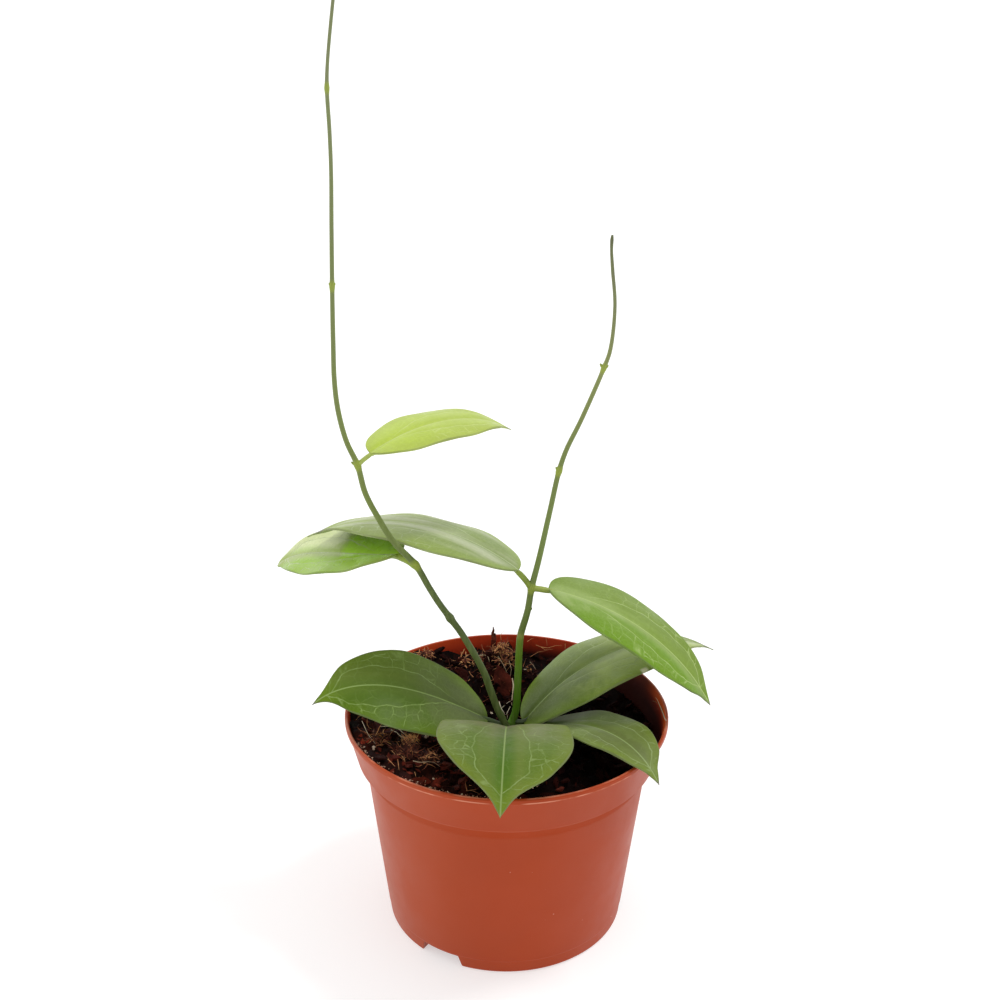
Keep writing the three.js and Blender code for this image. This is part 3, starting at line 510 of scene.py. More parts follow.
class Finish:
    """A procedural finish in the making."""

    def __init__(self, name):
        self.material = bpy.data.materials.new(name)
        self.material.use_nodes = True
        self.tree = self.material.node_tree
        self.shader = self.tree.nodes["Principled BSDF"]

    def put(self, socket, value):
        if isinstance(value, bpy.types.NodeSocket):
            self.tree.links.new(value, socket)
        else:
            socket.default_value = value

    def add(self, kind, inputs=(), output=0, **settings):
        node = self.tree.nodes.new("ShaderNode" + kind)
        for name, value in settings.items():
            setattr(node, name, value)
        for key, value in dict(inputs).items():
            self.put(node.inputs[key], value)
        return node.outputs[output]

    def set(self, **sockets):
        for name, value in sockets.items():
            self.put(self.shader.inputs[name.replace("_", " ")], value)
        return self.material

    def place(self):
        return self.add("TexCoord", output="Object")

    def split(self, vector):
        """The three parts of a vector."""
        return self.add("SeparateXYZ", {0: vector}).node.outputs

    def attribute(self, name):
        return self.add("Attribute", output="Fac", attribute_name=name)

    def stretched(self, vector, x, y, z):
        return self.add("Mapping", {"Vector": vector, "Scale": (x, y, z)})

    def noise(self, vector, scale, detail, roughness=0.55):
        return self.add("TexNoise", {"Vector": vector, "Scale": scale, "Detail": detail,
                                     "Roughness": roughness})

    def cells(self, vector, scale, feature="F1", randomness=1.0):
        return self.add("TexVoronoi", {"Vector": vector, "Scale": scale, "Randomness": randomness},
                        output="Distance", feature=feature)

    def specks(self, vector, scale, begins, ends, most, patches, rare):
        """Small specks that fade from one reach to another, in patches only."""
        dots = self.step(self.cells(vector, scale), begins, ends, most, 0.0)
        return self.times(dots, self.step(self.noise(vector, patches, 1), rare, rare + 0.06))

    def math(self, operation, first, second=0.0):
        return self.add("Math", {0: first, 1: second}, operation=operation)

    def times(self, first, *others):
        for value in others:
            first = self.math("MULTIPLY", first, value)
        return first

    def step(self, value, low, high, at_low=0.0, at_high=1.0):
        return self.add("MapRange", {"Value": value, "From Min": low, "From Max": high,
                                     "To Min": at_low, "To Max": at_high}, interpolation_type="SMOOTHSTEP")

    def blend(self, share, first, second, kind="MIX"):
        first, second = (value if isinstance(value, bpy.types.NodeSocket) else (*value, 1)
                         for value in (first, second))
        return self.add("Mix", {0: share, 6: first, 7: second}, output=2,
                        data_type="RGBA", blend_type=kind, clamp_factor=True)

    def ramp(self, value, *stops):
        node = self.tree.nodes.new("ShaderNodeValToRGB")
        self.put(node.inputs[0], value)
        while len(node.color_ramp.elements) < len(stops):
            node.color_ramp.elements.new(0.5)
        for element, (place, colour) in zip(node.color_ramp.elements, stops):
            element.position = place
            element.color = (*colour, 1)
        return node.outputs[0]

    def bump(self, height, strength, distance, under=None):
        inputs = {"Height": height, "Strength": strength, "Distance": distance}
        if under is not None:
            inputs["Normal"] = under
        return self.add("Bump", inputs)


# Pot
def pot_finish(sizes):
    finish = Finish("moulded_terracotta_plastic")
    place = finish.place()
    across, back, height = finish.split(place)
    wall = finish.attribute("outside")
    cloud = finish.noise(place, 22, 4)
    colour = finish.ramp(cloud, (0.3, scaled(sizes.colour, 0.94)), (0.7, scaled(sizes.colour, 1.05)))
    # Painted light: the pot's left side is made paler, as if lit from the left
    colour = finish.blend(finish.step(across, -0.045, 0.0, 0.6, 0.0), colour, sizes.painted_light)

    # The inner wall is dusty, darkened low down and mostly at the right with soil stain and painted
    # shade, brightened under the lip with painted light, and darkened at its back right with a painted shadow
    dusty = finish.times(finish.step(finish.noise(place, 130, 6, 0.7), 0.5, 0.7), 0.4)
    inside = finish.blend(dusty, sizes.inside, POT_MARKS["dust"])
    # Soil stain and painted shade: the inner wall darkens down towards the mix, far more at the right
    stained_and_shaded = finish.times(finish.step(height, *STAINED_AND_SHADED_WALL, 0.97, 0.0),
                          finish.step(across, -0.035, 0.0, 0.12, 1.0))
    inside = finish.blend(stained_and_shaded, inside, POT_MARKS["stain_and_shade"])
    sides = finish.math("MAXIMUM", finish.step(across, 0.044, 0.056),
                        finish.step(across, -0.03, -0.01, 0.2, 0.0))
    lit = finish.times(finish.step(height, *LIT_WALL), sides)
    inside = finish.blend(lit, inside, POT_MARKS["lit"])
    # Painted shadow: a leaf's shadow is painted dark on the inner wall at the back right
    corner = finish.times(finish.step(across, 0.028, 0.046), finish.step(back, 0.009, 0.024, 0.0, 0.88))
    inside = finish.blend(corner, inside, POT_MARKS["corner"])
    colour = finish.blend(wall, inside, colour)
    slope = finish.times(finish.step(height, *SHOULDER_STARTS), finish.step(height, *SHOULDER_ENDS, 1.0, 0.0))
    # Painted shade: the shoulder's slope under the band is darkened a little
    colour = finish.blend(finish.times(slope, wall, 0.13), colour, POT_MARKS["shade_under_band"])

    # Painted highlights, as broken pale lines at the bead, the lip and the shoulder, and specks of dust
    glint = finish.times(finish.step(finish.noise(place, 75, 3), 0.4, 0.6, 0.02, 0.85), wall)
    for line_height, half, strength in GLINT_LINES:
        off = finish.math("ABSOLUTE", finish.math("SUBTRACT", height, line_height))
        line = finish.times(finish.step(off, 0.3 * half, half, strength, 0.0), glint)
        colour = finish.blend(line, colour, POT_MARKS["glint"])
    specks = finish.specks(place, 260, 0.03, 0.09, 0.8, 31, 0.62)
    colour = finish.blend(specks, colour, POT_MARKS["speck"])
    dull = sizes.roughness
    rough = finish.step(finish.noise(place, 60, 5), 0.3, 0.7, dull - 0.04, dull + 0.07)
    rough = finish.math("ADD", rough, finish.times(slope, 0.4))
    drawn = finish.noise(finish.stretched(place, 1, 1, 0.06), 420, 3)
    skin = finish.noise(place, 1500, 2)
    relief = finish.bump(drawn, 0.05, 0.0004, finish.bump(skin, 0.06, 0.00015))
    return finish.set(Base_Color=colour, Roughness=rough, Normal=relief, Specular_IOR_Level=0.17)


def lathe_pot(sizes):
    """A circle at the foot, drawn up the outside, over the lip and down the inside."""
    deselect_all()
    (first, start), *profile = POT_OUTSIDE + POT_INSIDE
    bpy.ops.mesh.primitive_circle_add(
        vertices=sizes.sides, radius=first * MM, location=(0, 0, start * MM), fill_type="NGON")
    pot = bpy.context.object
    bpy.ops.object.mode_set(mode="EDIT")
    bpy.ops.mesh.select_all(action="DESELECT")
    bpy.ops.mesh.select_mode(type="EDGE")
    bpy.ops.mesh.select_all(action="SELECT")
    radius, height = first, start
    for next_radius, next_height in profile:
        bpy.ops.mesh.extrude_edges_move(
            TRANSFORM_OT_translate={"value": (0, 0, (next_height - height) * MM)})
        share = next_radius / radius
        bpy.ops.transform.resize(value=(share, share, 1), center_override=(0, 0, next_height * MM))
        radius, height = next_radius, next_height
    bpy.ops.mesh.edge_face_add()
    bpy.ops.mesh.select_all(action="SELECT")
    bpy.ops.mesh.remove_doubles(threshold=0.000001)
    bpy.ops.mesh.normals_make_consistent(inside=False)
    bpy.ops.object.mode_set(mode="OBJECT")
    settle(pot)
    modify(pot, "BEVEL", width=sizes.rounding, segments=3, limit_method="ANGLE",
           angle_limit=math.radians(18))
    return pot


def notch_block(bearing, grow, inner, outer, bottom):
    """A block with sloping ends, laid outwards along a notch's bearing."""
    deselect_all()
    bpy.ops.mesh.primitive_cube_add(size=1)
    block = bpy.context.object
    top = NOTCH["height"] + grow
    for corner in block.data.vertices:
        low = corner.co.z < 0
        half = (NOTCH["width"] if low else NOTCH["top"]) / 2 + grow
        corner.co = mm(outer if corner.co.x > 0 else inner, math.copysign(half, corner.co.y),
                       bottom if low else top)
    block.rotation_euler.z = math.radians(bearing)
    settle(block)
    return block


def carve(piece, tool, operation):
    modify(piece, "BOOLEAN", operation=operation, object=tool, solver="EXACT")
    bpy.data.objects.remove(tool)


def make_pot(sizes):
    pot = lathe_pot(sizes)
    wall, inner = NOTCH["wall"], NOTCH["inner"]
    for bearing in NOTCH_BEARINGS:
        housing = notch_block(bearing, wall, inner - wall, NOTCH["housing"], NOTCH["floor"])
        deselect_all()
        bpy.ops.mesh.primitive_cylinder_add(
            vertices=144, radius=NOTCH["reach"] * MM, depth=20 * MM, end_fill_type="NGON")
        carve(housing, bpy.context.object, "INTERSECT")
        carve(pot, housing, "UNION")
        carve(pot, notch_block(bearing, 0, inner, NOTCH["outer"], NOTCH["below"]), "DIFFERENCE")
        deselect_all()
        turn = math.radians(bearing)
        away = DRAIN_HOLE["place"]
        bpy.ops.mesh.primitive_cylinder_add(
            vertices=32, radius=DRAIN_HOLE["radius"] * MM, depth=DRAIN_HOLE["depth"] * MM,
            location=mm(away * math.cos(turn), away * math.sin(turn), NOTCH["height"]))
        hole = bpy.context.object
        settle(hole)
        carve(pot, hole, "DIFFERENCE")
    places = corners_of(pot) / MM
    outer = np.interp(places[:, 2], *zip(*((z, r) for r, z in POT_OUTSIDE)))
    mark(pot, "outside", np.hypot(places[:, 0], places[:, 1]) > outer - 0.6)
    pick(pot)
    bpy.ops.object.shade_smooth_by_angle(angle=math.radians(32))
    pot.name = "nursery_pot"
    dress(pot, pot_finish(sizes), "pot_plastic", "pot")


# Potting mix
def inside_radius(height):
    """The radius of the pot's inner wall at a height, both in millimetres."""
    inside = sorted((z, r) for r, z in POT_INSIDE[1:])
    heights, radii = zip(*inside)
    return float(np.interp(height, heights, radii))


def mix_height(x, y):
    slopes = 5 * smooth((-x - 12) / 38, 0, 1) - 5 * smooth((x - 10) / 45, 0, 1)
    hills = sum(rise * math.exp(-((x - hx) ** 2 + (y - hy) ** 2) / (2 * radius ** 2))
                for hx, hy, radius, rise in MIX_HILLS)
    crumbs = math.sin(0.55 * x + 1.3) * math.sin(0.61 * y + 0.4) + 0.6 * math.sin(1.1 * x - 0.8 * y)
    return MIX_HEIGHT + slopes + hills + 0.8 * crumbs


def rough_height(x, y):
    """The mix's height with its crumbs, which die away at the wall."""
    coarse = noise.fractal(Vector((x * 0.16, y * 0.16, 2.7)), 1.0, 2.0, 3)
    crumbly = noise.turbulence(Vector((x * 0.45, y * 0.45, 9.1)), 3, False)
    near_wall = smooth(math.hypot(x, y), 50, 56)
    return mix_height(x, y) + (1 - 0.8 * near_wall) * (1.1 * coarse + 1.5 * (crumbly - 0.45))


def mix_finish(name, dark, light, relief, damp_and_shade=0.94):
    finish = Finish(name)
    place = finish.place()
    grain = finish.noise(place, 240, 5, 0.65)
    patches = finish.noise(place, 55, 3)
    share = finish.math("ADD", finish.times(grain, 0.6), finish.times(finish.attribute("tone"), 0.5))
    colour = finish.blend(finish.step(share, 0.25, 0.85), dark, light)
    colour = finish.blend(finish.step(patches, 0.4, 0.62, 0.8, 0.0), colour, scaled(dark, 0.2))
    # Damp peat and painted shade: the mix darkens away from its dry, lit place at the front left
    away = finish.add("VectorMath", {0: place, 1: DRY_LIT_PLACE}, output="Value", operation="DISTANCE")
    far = finish.step(away, *DAMP_AND_SHADE_FROM)
    colour = finish.blend(finish.times(far, damp_and_shade), colour, scaled(dark, 0.15))
    rough = finish.math("MAXIMUM", finish.step(grain, 0.3, 0.7, 0.65, 0.95), finish.times(far, 0.98))
    shreds = finish.noise(finish.stretched(place, 1, 0.35, 1), 900, 4, 0.7)
    bumps = finish.bump(shreds, relief, 0.0006, finish.bump(grain, relief, 0.0015))
    return finish.set(Base_Color=colour, Roughness=rough, Normal=bumps, Specular_IOR_Level=0.09)


def make_ground():
    """A disc drawn inwards ring by ring, with its rim drawn down the pot's inside."""
    deselect_all()
    edge = inside_radius(MIX_HEIGHT) - WALL_GAP
    middle = (0, 0, MIX_HEIGHT * MM)
    bpy.ops.mesh.primitive_circle_add(vertices=MIX_SIDES, radius=edge * MM, location=middle)
    ground = bpy.context.object
    bpy.ops.object.mode_set(mode="EDIT")
    bpy.ops.mesh.select_mode(type="EDGE")
    bpy.ops.mesh.select_all(action="SELECT")
    for ring in range(1, MIX_RINGS):
        bpy.ops.mesh.extrude_edges_move()
        share = (MIX_RINGS - ring) / (MIX_RINGS - ring + 1)
        bpy.ops.transform.resize(value=(share, share, 1), center_override=middle)
    bpy.ops.mesh.edge_face_add()
    bpy.ops.mesh.poke()
    bpy.ops.object.mode_set(mode="OBJECT")
    settle(ground)
    top = corners_of(ground)
    for place in top:
        x, y = place[0] / MM, place[1] / MM
        share = math.hypot(x, y) / edge
        height = rough_height(x, y)
        widened = 1 + (share ** 8) * ((inside_radius(height) - WALL_GAP) / edge - 1)
        place[:] = (place[0] * widened, place[1] * widened, height * MM)
    move_corners(ground, top)
    bpy.ops.object.mode_set(mode="EDIT")
    bpy.ops.mesh.select_all(action="SELECT")
    bpy.ops.mesh.region_to_loop()
    bpy.ops.mesh.extrude_edges_move()
    bpy.ops.object.mode_set(mode="OBJECT")
    count = len(top)
    wall = corners_of(ground)
    for height in MIX_WALL:
        radius = inside_radius(height) - WALL_GAP
        for place in wall[count:]:
            reach = math.hypot(place[0], place[1])
            place[:] = (place[0] / reach * radius * MM, place[1] / reach * radius * MM, height * MM)
        move_corners(ground, wall)
        bpy.ops.object.mode_set(mode="EDIT")
        if height == MIX_WALL[-1]:
            bpy.ops.mesh.edge_face_add()
            bpy.ops.mesh.select_all(action="SELECT")
            bpy.ops.mesh.normals_make_consistent(inside=False)
        else:
            bpy.ops.mesh.extrude_edges_move()
        bpy.ops.object.mode_set(mode="OBJECT")
        count = len(wall)
        wall = corners_of(ground)
    bpy.ops.object.shade_smooth()
    mark(ground, "tone", np.full(len(wall), 0.35))
    return ground


def bark_block(draw, cuts):
    """One rough chip, a metre long, that is scaled down where it is used."""
    deselect_all()
    bpy.ops.mesh.primitive_cube_add(size=1)
    chip = bpy.context.object
    bpy.ops.object.mode_set(mode="EDIT")
    bpy.ops.mesh.subdivide(number_cuts=cuts, smoothness=0.4)
    bpy.ops.object.mode_set(mode="OBJECT")
    lean = draw.uniform(-0.25, 0.25)
    for corner in chip.data.vertices:
        end = abs(corner.co.x) * 2
        thin = 1 - 0.6 * end * end
        corner.co.y = corner.co.y * thin + lean * end + draw.uniform(-0.1, 0.1)
        corner.co.z = corner.co.z * (1 - 0.4 * end) + draw.uniform(-0.12, 0.12)
        corner.co.x += draw.uniform(-0.06, 0.06)
    return chip


def scatter_place(draw, outer):
    """A place on the mix, in millimetres, that is clear of the stems."""
    while True:
        away = outer * math.sqrt(draw.uniform(0, 1))
        turn = draw.uniform(0, 2 * math.pi)
        x, y = away * math.cos(turn), away * math.sin(turn)
        if min(math.hypot(x - foot_x, y - foot_y) for foot_x, foot_y in STEM_FEET) > STEM_CLEARANCE:
            return x, y


def lay_chip(block, place, size, turns, tone):
    """A copy of a block at a place in millimetres, scaled to its size and turned."""
    chip = block.copy()
    chip.data = chip.data.copy()
    bpy.context.scene.collection.objects.link(chip)
    chip.scale = mm(*size)
    chip.rotation_euler = turns
    chip.location = mm(*place)
    mark(chip, "tone", np.full(len(chip.data.vertices), tone))
    return chip


def gather(chips, blocks, name):
    for block in blocks:
        bpy.data.objects.remove(block)
    pieces = join(chips, name)
    settle(pieces)
    return pieces


def strew_chips(blocks, draw, count, length):
    """Copies of the blocks strewn over the mix, sunk a little and leaning all ways."""
    chips = []
    for i in range(count):
        long = draw.uniform(*length)
        wide = long * draw.uniform(0.28, 0.5)
        deep = long * draw.uniform(0.12, 0.28)
        x, y = scatter_place(draw, CHIP_EDGE)
        height = rough_height(x, y)
        most = inside_radius(height + 1) - 0.5 * long - 0.6
        if math.hypot(x, y) > most:
            share = most / math.hypot(x, y)
            x, y = x * share, y * share
            height = rough_height(x, y)
        on_hill = math.hypot(x + 3, y - 32) < 13
        lean = draw.uniform(-1.2, 1.2) if on_hill else draw.uniform(-0.6, 0.6)
        turns = (draw.uniform(-0.8, 0.8), lean, draw.uniform(0, 2 * math.pi))
        chips.append(lay_chip(blocks[i % len(blocks)], (x, y, height + 0.3 * deep),
                              (long, wide, deep), turns, draw.random()))
    return chips


def strands(name, lines):
    """Many thin strands as one piece. Each line is its places in millimetres, its radius and tone."""
    tapered = []
    for places, radius, _ in lines:
        last = len(places) - 1
        tapered.append((places, [radius * (1 - 0.75 * (i / last) ** 2) for i in range(last + 1)]))
    piece = tubes(name, tapered, 0)
    each = len(piece.data.vertices) // sum(len(places) for places, _, _ in lines)
    mark(piece, "tone", [tone for places, _, tone in lines for _ in range(each * len(places))])
    bpy.ops.object.shade_smooth()
    return piece


def wander(draw, start, way, length, curl, steps=7):
    """The places along a strand that sets out along a way and curls as it goes."""
    places = [Vector(start)]
    way = Vector(way).normalized()
    turn = Vector((draw.uniform(-1, 1), draw.uniform(-1, 1), draw.uniform(-1, 0.4)))
    for _ in range(steps):
        way = (way + turn * curl + Vector([draw.gauss(0, 0.14) for _ in range(3)])).normalized()
        places.append(places[-1] + way * length / steps)
    return [tuple(place) for place in places]


def strand_finish(name, dark, middle, light):
    finish = Finish(name)
    grain = finish.noise(finish.place(), 300, 4)
    share = finish.math("ADD", finish.times(grain, 0.5), finish.times(finish.attribute("tone"), 0.75))
    colour = finish.ramp(share, (0.3, dark), (0.62, middle), (1.0, light))
    rough = finish.step(grain, 0.3, 0.7, 0.6, 0.85)
    relief = finish.bump(grain, 0.3, 0.0003)
    return finish.set(Base_Color=colour, Roughness=rough, Normal=relief, Specular_IOR_Level=0.25)


def make_mix(sizes):
    draw = random.Random(sizes.seed)
    ground = make_ground()
    gap = NOTCH["wall"] + WALL_GAP
    for bearing in NOTCH_BEARINGS:
        tool = notch_block(bearing, gap, NOTCH["inner"] - gap, NOTCH["outer"], NOTCH["below"])
        carve(ground, tool, "DIFFERENCE")
    ground.name = "mix_body"
    dress(ground, mix_finish("peat", *PEAT), "potting_mix", "potting_mix")

    blocks = [bark_block(draw, 2) for _ in range(5)]
    chips = strew_chips(blocks, draw, sizes.chips, CHIP_LENGTHS)
    pieces = []
    for place, long, wide, deep, lean, turn, tone in BARK_PIECES:
        turns = (draw.uniform(-0.3, 0.3), math.radians(-lean), math.radians(turn))
        pieces.append(lay_chip(blocks[1], place, (long, wide, deep), turns, tone))
    pieces = gather(pieces, [], "bark_pieces")
    dress(pieces, mix_finish("bark_piece", *BARK_PIECE, damp_and_shade=0.0), "potting_mix")
    dress(gather(chips, blocks, "bark_chips"), mix_finish("bark", *BARK), "potting_mix")

    blocks = [bark_block(draw, 1) for _ in range(4)]
    crumbs = strew_chips(blocks, draw, sizes.crumbs, CRUMB_LENGTHS)
    dress(gather(crumbs, blocks, "mix_crumbs"), mix_finish("crumb", *CRUMB), "potting_mix")

    block = bark_block(draw, 1)
    flecks = []
    for x, y, z, size in PALE_FLECKS:
        for _ in range(2):
            at = (x + 0.4 * size * draw.uniform(-1, 1), y + 0.4 * size * draw.uniform(-1, 1),
                  z + 0.3 * size * draw.random())
            shape = (size * draw.uniform(0.4, 0.8), size * draw.uniform(0.3, 0.5),
                     size * draw.uniform(0.3, 0.7))
            turns = [draw.uniform(-1, 1) for _ in range(3)]
            flecks.append(lay_chip(block, at, shape, turns, draw.uniform(0.6, 1)))
    for _ in range(sizes.crumbs // 12):
        turn = math.radians(draw.uniform(*LIP_CRUMBS["bearing"]))
        away = draw.uniform(*LIP_CRUMBS["away"])
        size = draw.uniform(*LIP_CRUMBS["size"])
        at = (away * math.cos(turn), away * math.sin(turn), draw.uniform(*LIP_CRUMBS["height"]))
        turns = (0, 0, draw.uniform(0, 6))
        flecks.append(lay_chip(block, at, (size, 0.6 * size, 0.5 * size), turns, draw.uniform(0, 0.7)))
    dress(gather(flecks, [block], "pale_flecks"), strand_finish("fleck", *FLECK), "potting_mix")


def loose_fibre(draw):
    """Where a lone fibre lies: mostly at the left and on the hill, seldom at the dark right."""
    kind = draw.random()
    if kind < 0.25:
        return -3 + draw.gauss(0, 7), 31 + draw.gauss(0, 6), draw.uniform(0.1, 1.1)
    x, y = scatter_place(draw, FIBRE_EDGE)
    if kind < 0.65:
        return -abs(x), y, draw.uniform(-0.1, 0.4)
    stays = x < 12 or draw.random() < 0.04
    return x if stays else -x, y, draw.uniform(-0.1, 0.3)


def tangle_fibres(draw, middle, spread, count, tone, steep):
    """The fibres of a tangle, as places, radius and tone."""
    x, y, z = middle
    lumpy = 0.4 if y > 20 else 0.1
    for _ in range(count):
        reach, thick = LUMP if draw.random() < lumpy else THREAD
        turn = draw.uniform(0, 2 * math.pi)
        away = spread * draw.random() ** 0.7
        lift = 0.45 * spread * math.sqrt(max(0.0, 1 - (away / spread) ** 2)) * draw.uniform(0.3, 1)
        start = (x + away * math.cos(turn), y + away * math.sin(turn), z + lift)
        way = (draw.uniform(-1, 1), draw.uniform(-1, 1), steep * draw.uniform(-0.6, 1.6))
        places = wander(draw, start, way, draw.uniform(*reach) * spread, draw.uniform(0.16, 0.36))
        yield places, draw.uniform(*thick), min(1.0, max(0.0, draw.gauss(tone, 0.38)))


def make_fibres(sizes):
    draw = random.Random(sizes.seed + 1)
    brown = []
    for _ in range(sizes.fibres):
        x, y, lift = loose_fibre(draw)
        away = math.hypot(x, y)
        if away > FIBRE_EDGE:
            x, y = x * FIBRE_EDGE / away, y * FIBRE_EDGE / away
        turn = draw.uniform(0, 2 * math.pi)
        start = (x, y, rough_height(x, y) + 0.3)
        way = (math.cos(turn), math.sin(turn), lift)
        places = wander(draw, start, way, draw.uniform(1.8, 6.5), 0.22)
        brown.append((places, draw.uniform(0.07, 0.15), 0.85 * draw.random() ** 1.7))
    for tangle in TANGLES:
        brown.extend(tangle_fibres(draw, *tangle))
    kept = []
    for places, radius, tone in brown:
        places = [place for place in places if math.hypot(*place[:2]) < inside_radius(place[2]) - 0.4]
        if len(places) > 3:
            kept.append((places, radius, tone))
    kept += [(places, radius, tone) for radius, tone, places in LONE_FIBRES]
    dress(strands("coir_fibres", kept), strand_finish("coir", *COIR), "potting_mix")
    roots = strands("fine_roots", [(places, radius, tone) for radius, tone, places in PALE_ROOTS])
    dress(roots, strand_finish("root", *ROOT), "potting_mix")


# Stems
def smooth_line(knots, step):
    """Places along a centripetal curve through the knots, with each one's share of its span."""
    points = [np.array(knot[:3], float) for knot in knots]
    points = [2 * points[0] - points[1], *points, 2 * points[-1] - points[-2]]
    line = []
    for i in range(1, len(points) - 2):
        p0, p1, p2, p3 = points[i - 1:i + 3]
        t0 = 0.0
        t1 = t0 + np.linalg.norm(p1 - p0) ** 0.5
        t2 = t1 + np.linalg.norm(p2 - p1) ** 0.5
        t3 = t2 + np.linalg.norm(p3 - p2) ** 0.5
        pieces = max(2, round(np.linalg.norm(p2 - p1) / step))
        for k in range(pieces):
            t = t1 + (t2 - t1) * k / pieces
            a1 = (t1 - t) / (t1 - t0) * p0 + (t - t0) / (t1 - t0) * p1
            a2 = (t2 - t) / (t2 - t1) * p1 + (t - t1) / (t2 - t1) * p2
            a3 = (t3 - t) / (t3 - t2) * p2 + (t - t2) / (t3 - t2) * p3
            b1 = (t2 - t) / (t2 - t0) * a1 + (t - t0) / (t2 - t0) * a2
            b2 = (t3 - t) / (t3 - t1) * a2 + (t - t1) / (t3 - t1) * a3
            line.append(((t2 - t) / (t2 - t1) * b1 + (t - t1) / (t2 - t1) * b2, i - 1 + k / pieces))
    line.append((points[-2], len(knots) - 1.0))
    return line


def stem_finish(name, stops, node_tint):
    finish = Finish(name)
    place = finish.place()
    share = finish.step(finish.split(place)[2], *SKIN_HEIGHTS)
    share.node.interpolation_type = "LINEAR"
    colour = finish.ramp(share, *stops)
    streaks = finish.noise(finish.stretched(place, 1, 1, 0.12), 900, 3)
    colour = finish.blend(finish.step(streaks, 0.35, 0.7, 0.0, 0.35), colour, STEM_STREAK)
    near = finish.step(finish.attribute("node_near"), 0.3, 2.0, 0.75, 0.0)
    colour = finish.blend(near, colour, node_tint)
    colour = finish.blend(finish.specks(place, 420, 0.03, 0.12, 0.6, 90, 0.6), colour, STEM_SPECK)
    rough = finish.step(streaks, 0.3, 0.7, 0.42, 0.6)
    ring = finish.add("TexWave", {"Vector": place, "Scale": 500, "Distortion": 2, "Detail": 2},
                      wave_type="BANDS", bands_direction="Z")
    relief = finish.bump(streaks, 0.3, 0.0002, finish.bump(finish.times(ring, near), 0.25, 0.0002))
    return finish.set(Base_Color=colour, Roughness=rough, Normal=relief, Specular_IOR_Level=0.3)


def make_bud(name, knot, bearing, rise, length):
    foot = np.array(knot[:3])
    way = np.array(direction(math.radians(bearing), math.radians(rise)))
    shares = np.linspace(0, 1, 7)
    places = [foot + way * length * s + np.array([0, 0, BUD_CURVE * length * s * s]) for s in shares]
    radii = [BUD_RADIUS * math.sqrt(max(0.02, 1 - s ** 2.4)) for s in shares]
    return tube(name, places, radii, 10)


def make_stem(name, knots, buds, finish, node):
    line = smooth_line(knots, 0.8)
    places = np.array([place for place, _ in line])
    run = np.concatenate([[0], np.cumsum(np.linalg.norm(np.diff(places, axis=0), axis=1))])
    at = [share for _, share in line]
    radii = np.interp(at, range(len(knots)), [knot[3] for knot in knots])
    for i, knot in enumerate(knots):
        if knot[4] and knot[4] not in FLAT_NODES:
            off = (run - np.interp(i, at, run)) / NODE_REACH
            radii = radii * (1 + NODE_SWELL * np.exp(-off ** 2))
    pieces = [tube(name, places, radii, 16)]
    for bud_node, *shape in buds:
        knot = next(knot for knot in knots if knot[4] == bud_node)
        pieces.append(make_bud(name + "_bud", knot, *shape))
    for piece in pieces:
        places = corners_of(piece) / MM
        nearest = np.full(len(places), 99.0)
        for *spot, radius, kind in knots:
            if kind and kind not in DARK_NODES:
                nearest = np.minimum(nearest, np.linalg.norm(places - np.array(spot), axis=1) - radius)
        mark(piece, "node_near", nearest)
    stem = join(pieces, name)
    pick(stem)
    bpy.ops.object.shade_smooth()
    dress(stem, finish, "stem_green", node)


# Leaves
def blade_outline(t, widest, point):
    """The outline's half width at a share of the length, as a share of its greatest."""
    if t < widest:
        return math.sqrt(max(0.0, 1 - (1 - t / widest) ** 2.2))
    past = (t - widest) / (1 - widest)
    return max(0.0, 1 - past * past) ** point


def outline_reach(leaf, t):
    """The blade's half width in millimetres."""
    t = min(1.0, max(0.0, t))
    least = leaf["petiole"] * (1 - smooth(t, 0, 0.6)) + leaf.get("thread", 0.16)
    share, begins, ends = leaf["pinch"]
    full = leaf["width"] / 2 * blade_outline(t, leaf["widest"], leaf["point"])
    drip = smooth(t, 0.7, 0.86) * max(leaf["tip"] * (1 - t), leaf.get("blunt", 0) * math.sqrt(1 - t))
    return max(least, full * (1 - share * smooth(t, begins, ends)), drip)


class Midrib:
    """The line down a blade's middle, with the ways along, across and up from it."""

    FINE = 400

    def __init__(self, leaf):
        self.leaf = leaf
        walk = [Vector(leaf["base"])]
        for i in range(self.FINE):
            walk.append(walk[i] + self.way((i + 0.5) / self.FINE) * leaf["length"] / self.FINE)
        self.walk = walk

    def way(self, t):
        leaf = self.leaf
        slope = math.radians(leaf["rise"] + leaf["bend"] * t + leaf["hook"] * t ** 3)
        heading = math.radians(leaf["heading"] + leaf["sweep"] * t)
        return Vector(direction(heading, slope))

    def at(self, t):
        spot = min(max(t, 0.0), 1.0) * self.FINE
        low = min(int(spot), self.FINE - 1)
        return self.walk[low].lerp(self.walk[low + 1], spot - low)

    def ways(self, t):
        """The sideways and upward directions."""
        leaf = self.leaf
        heading = math.radians(leaf["heading"] + leaf["sweep"] * t)
        roll = math.radians(leaf["roll"] + leaf["twist"] * t)
        level = Vector((-math.sin(heading), math.cos(heading), 0))
        upright = self.way(t).cross(level)
        return (level * math.cos(roll) + upright * math.sin(roll),
                upright * math.cos(roll) - level * math.sin(roll))


def side_vein_reach(knots, t, phase):
    """How far out the long side vein runs, as a share of the half width."""
    reach = float(np.interp(t, *zip(*knots)))
    return reach * (1 + 0.035 * math.sin(52 * t + phase) + 0.02 * math.sin(23 * t + 2 * phase))


def dent(depth, half, off):
    return depth * math.exp(-(off / half) ** 2)


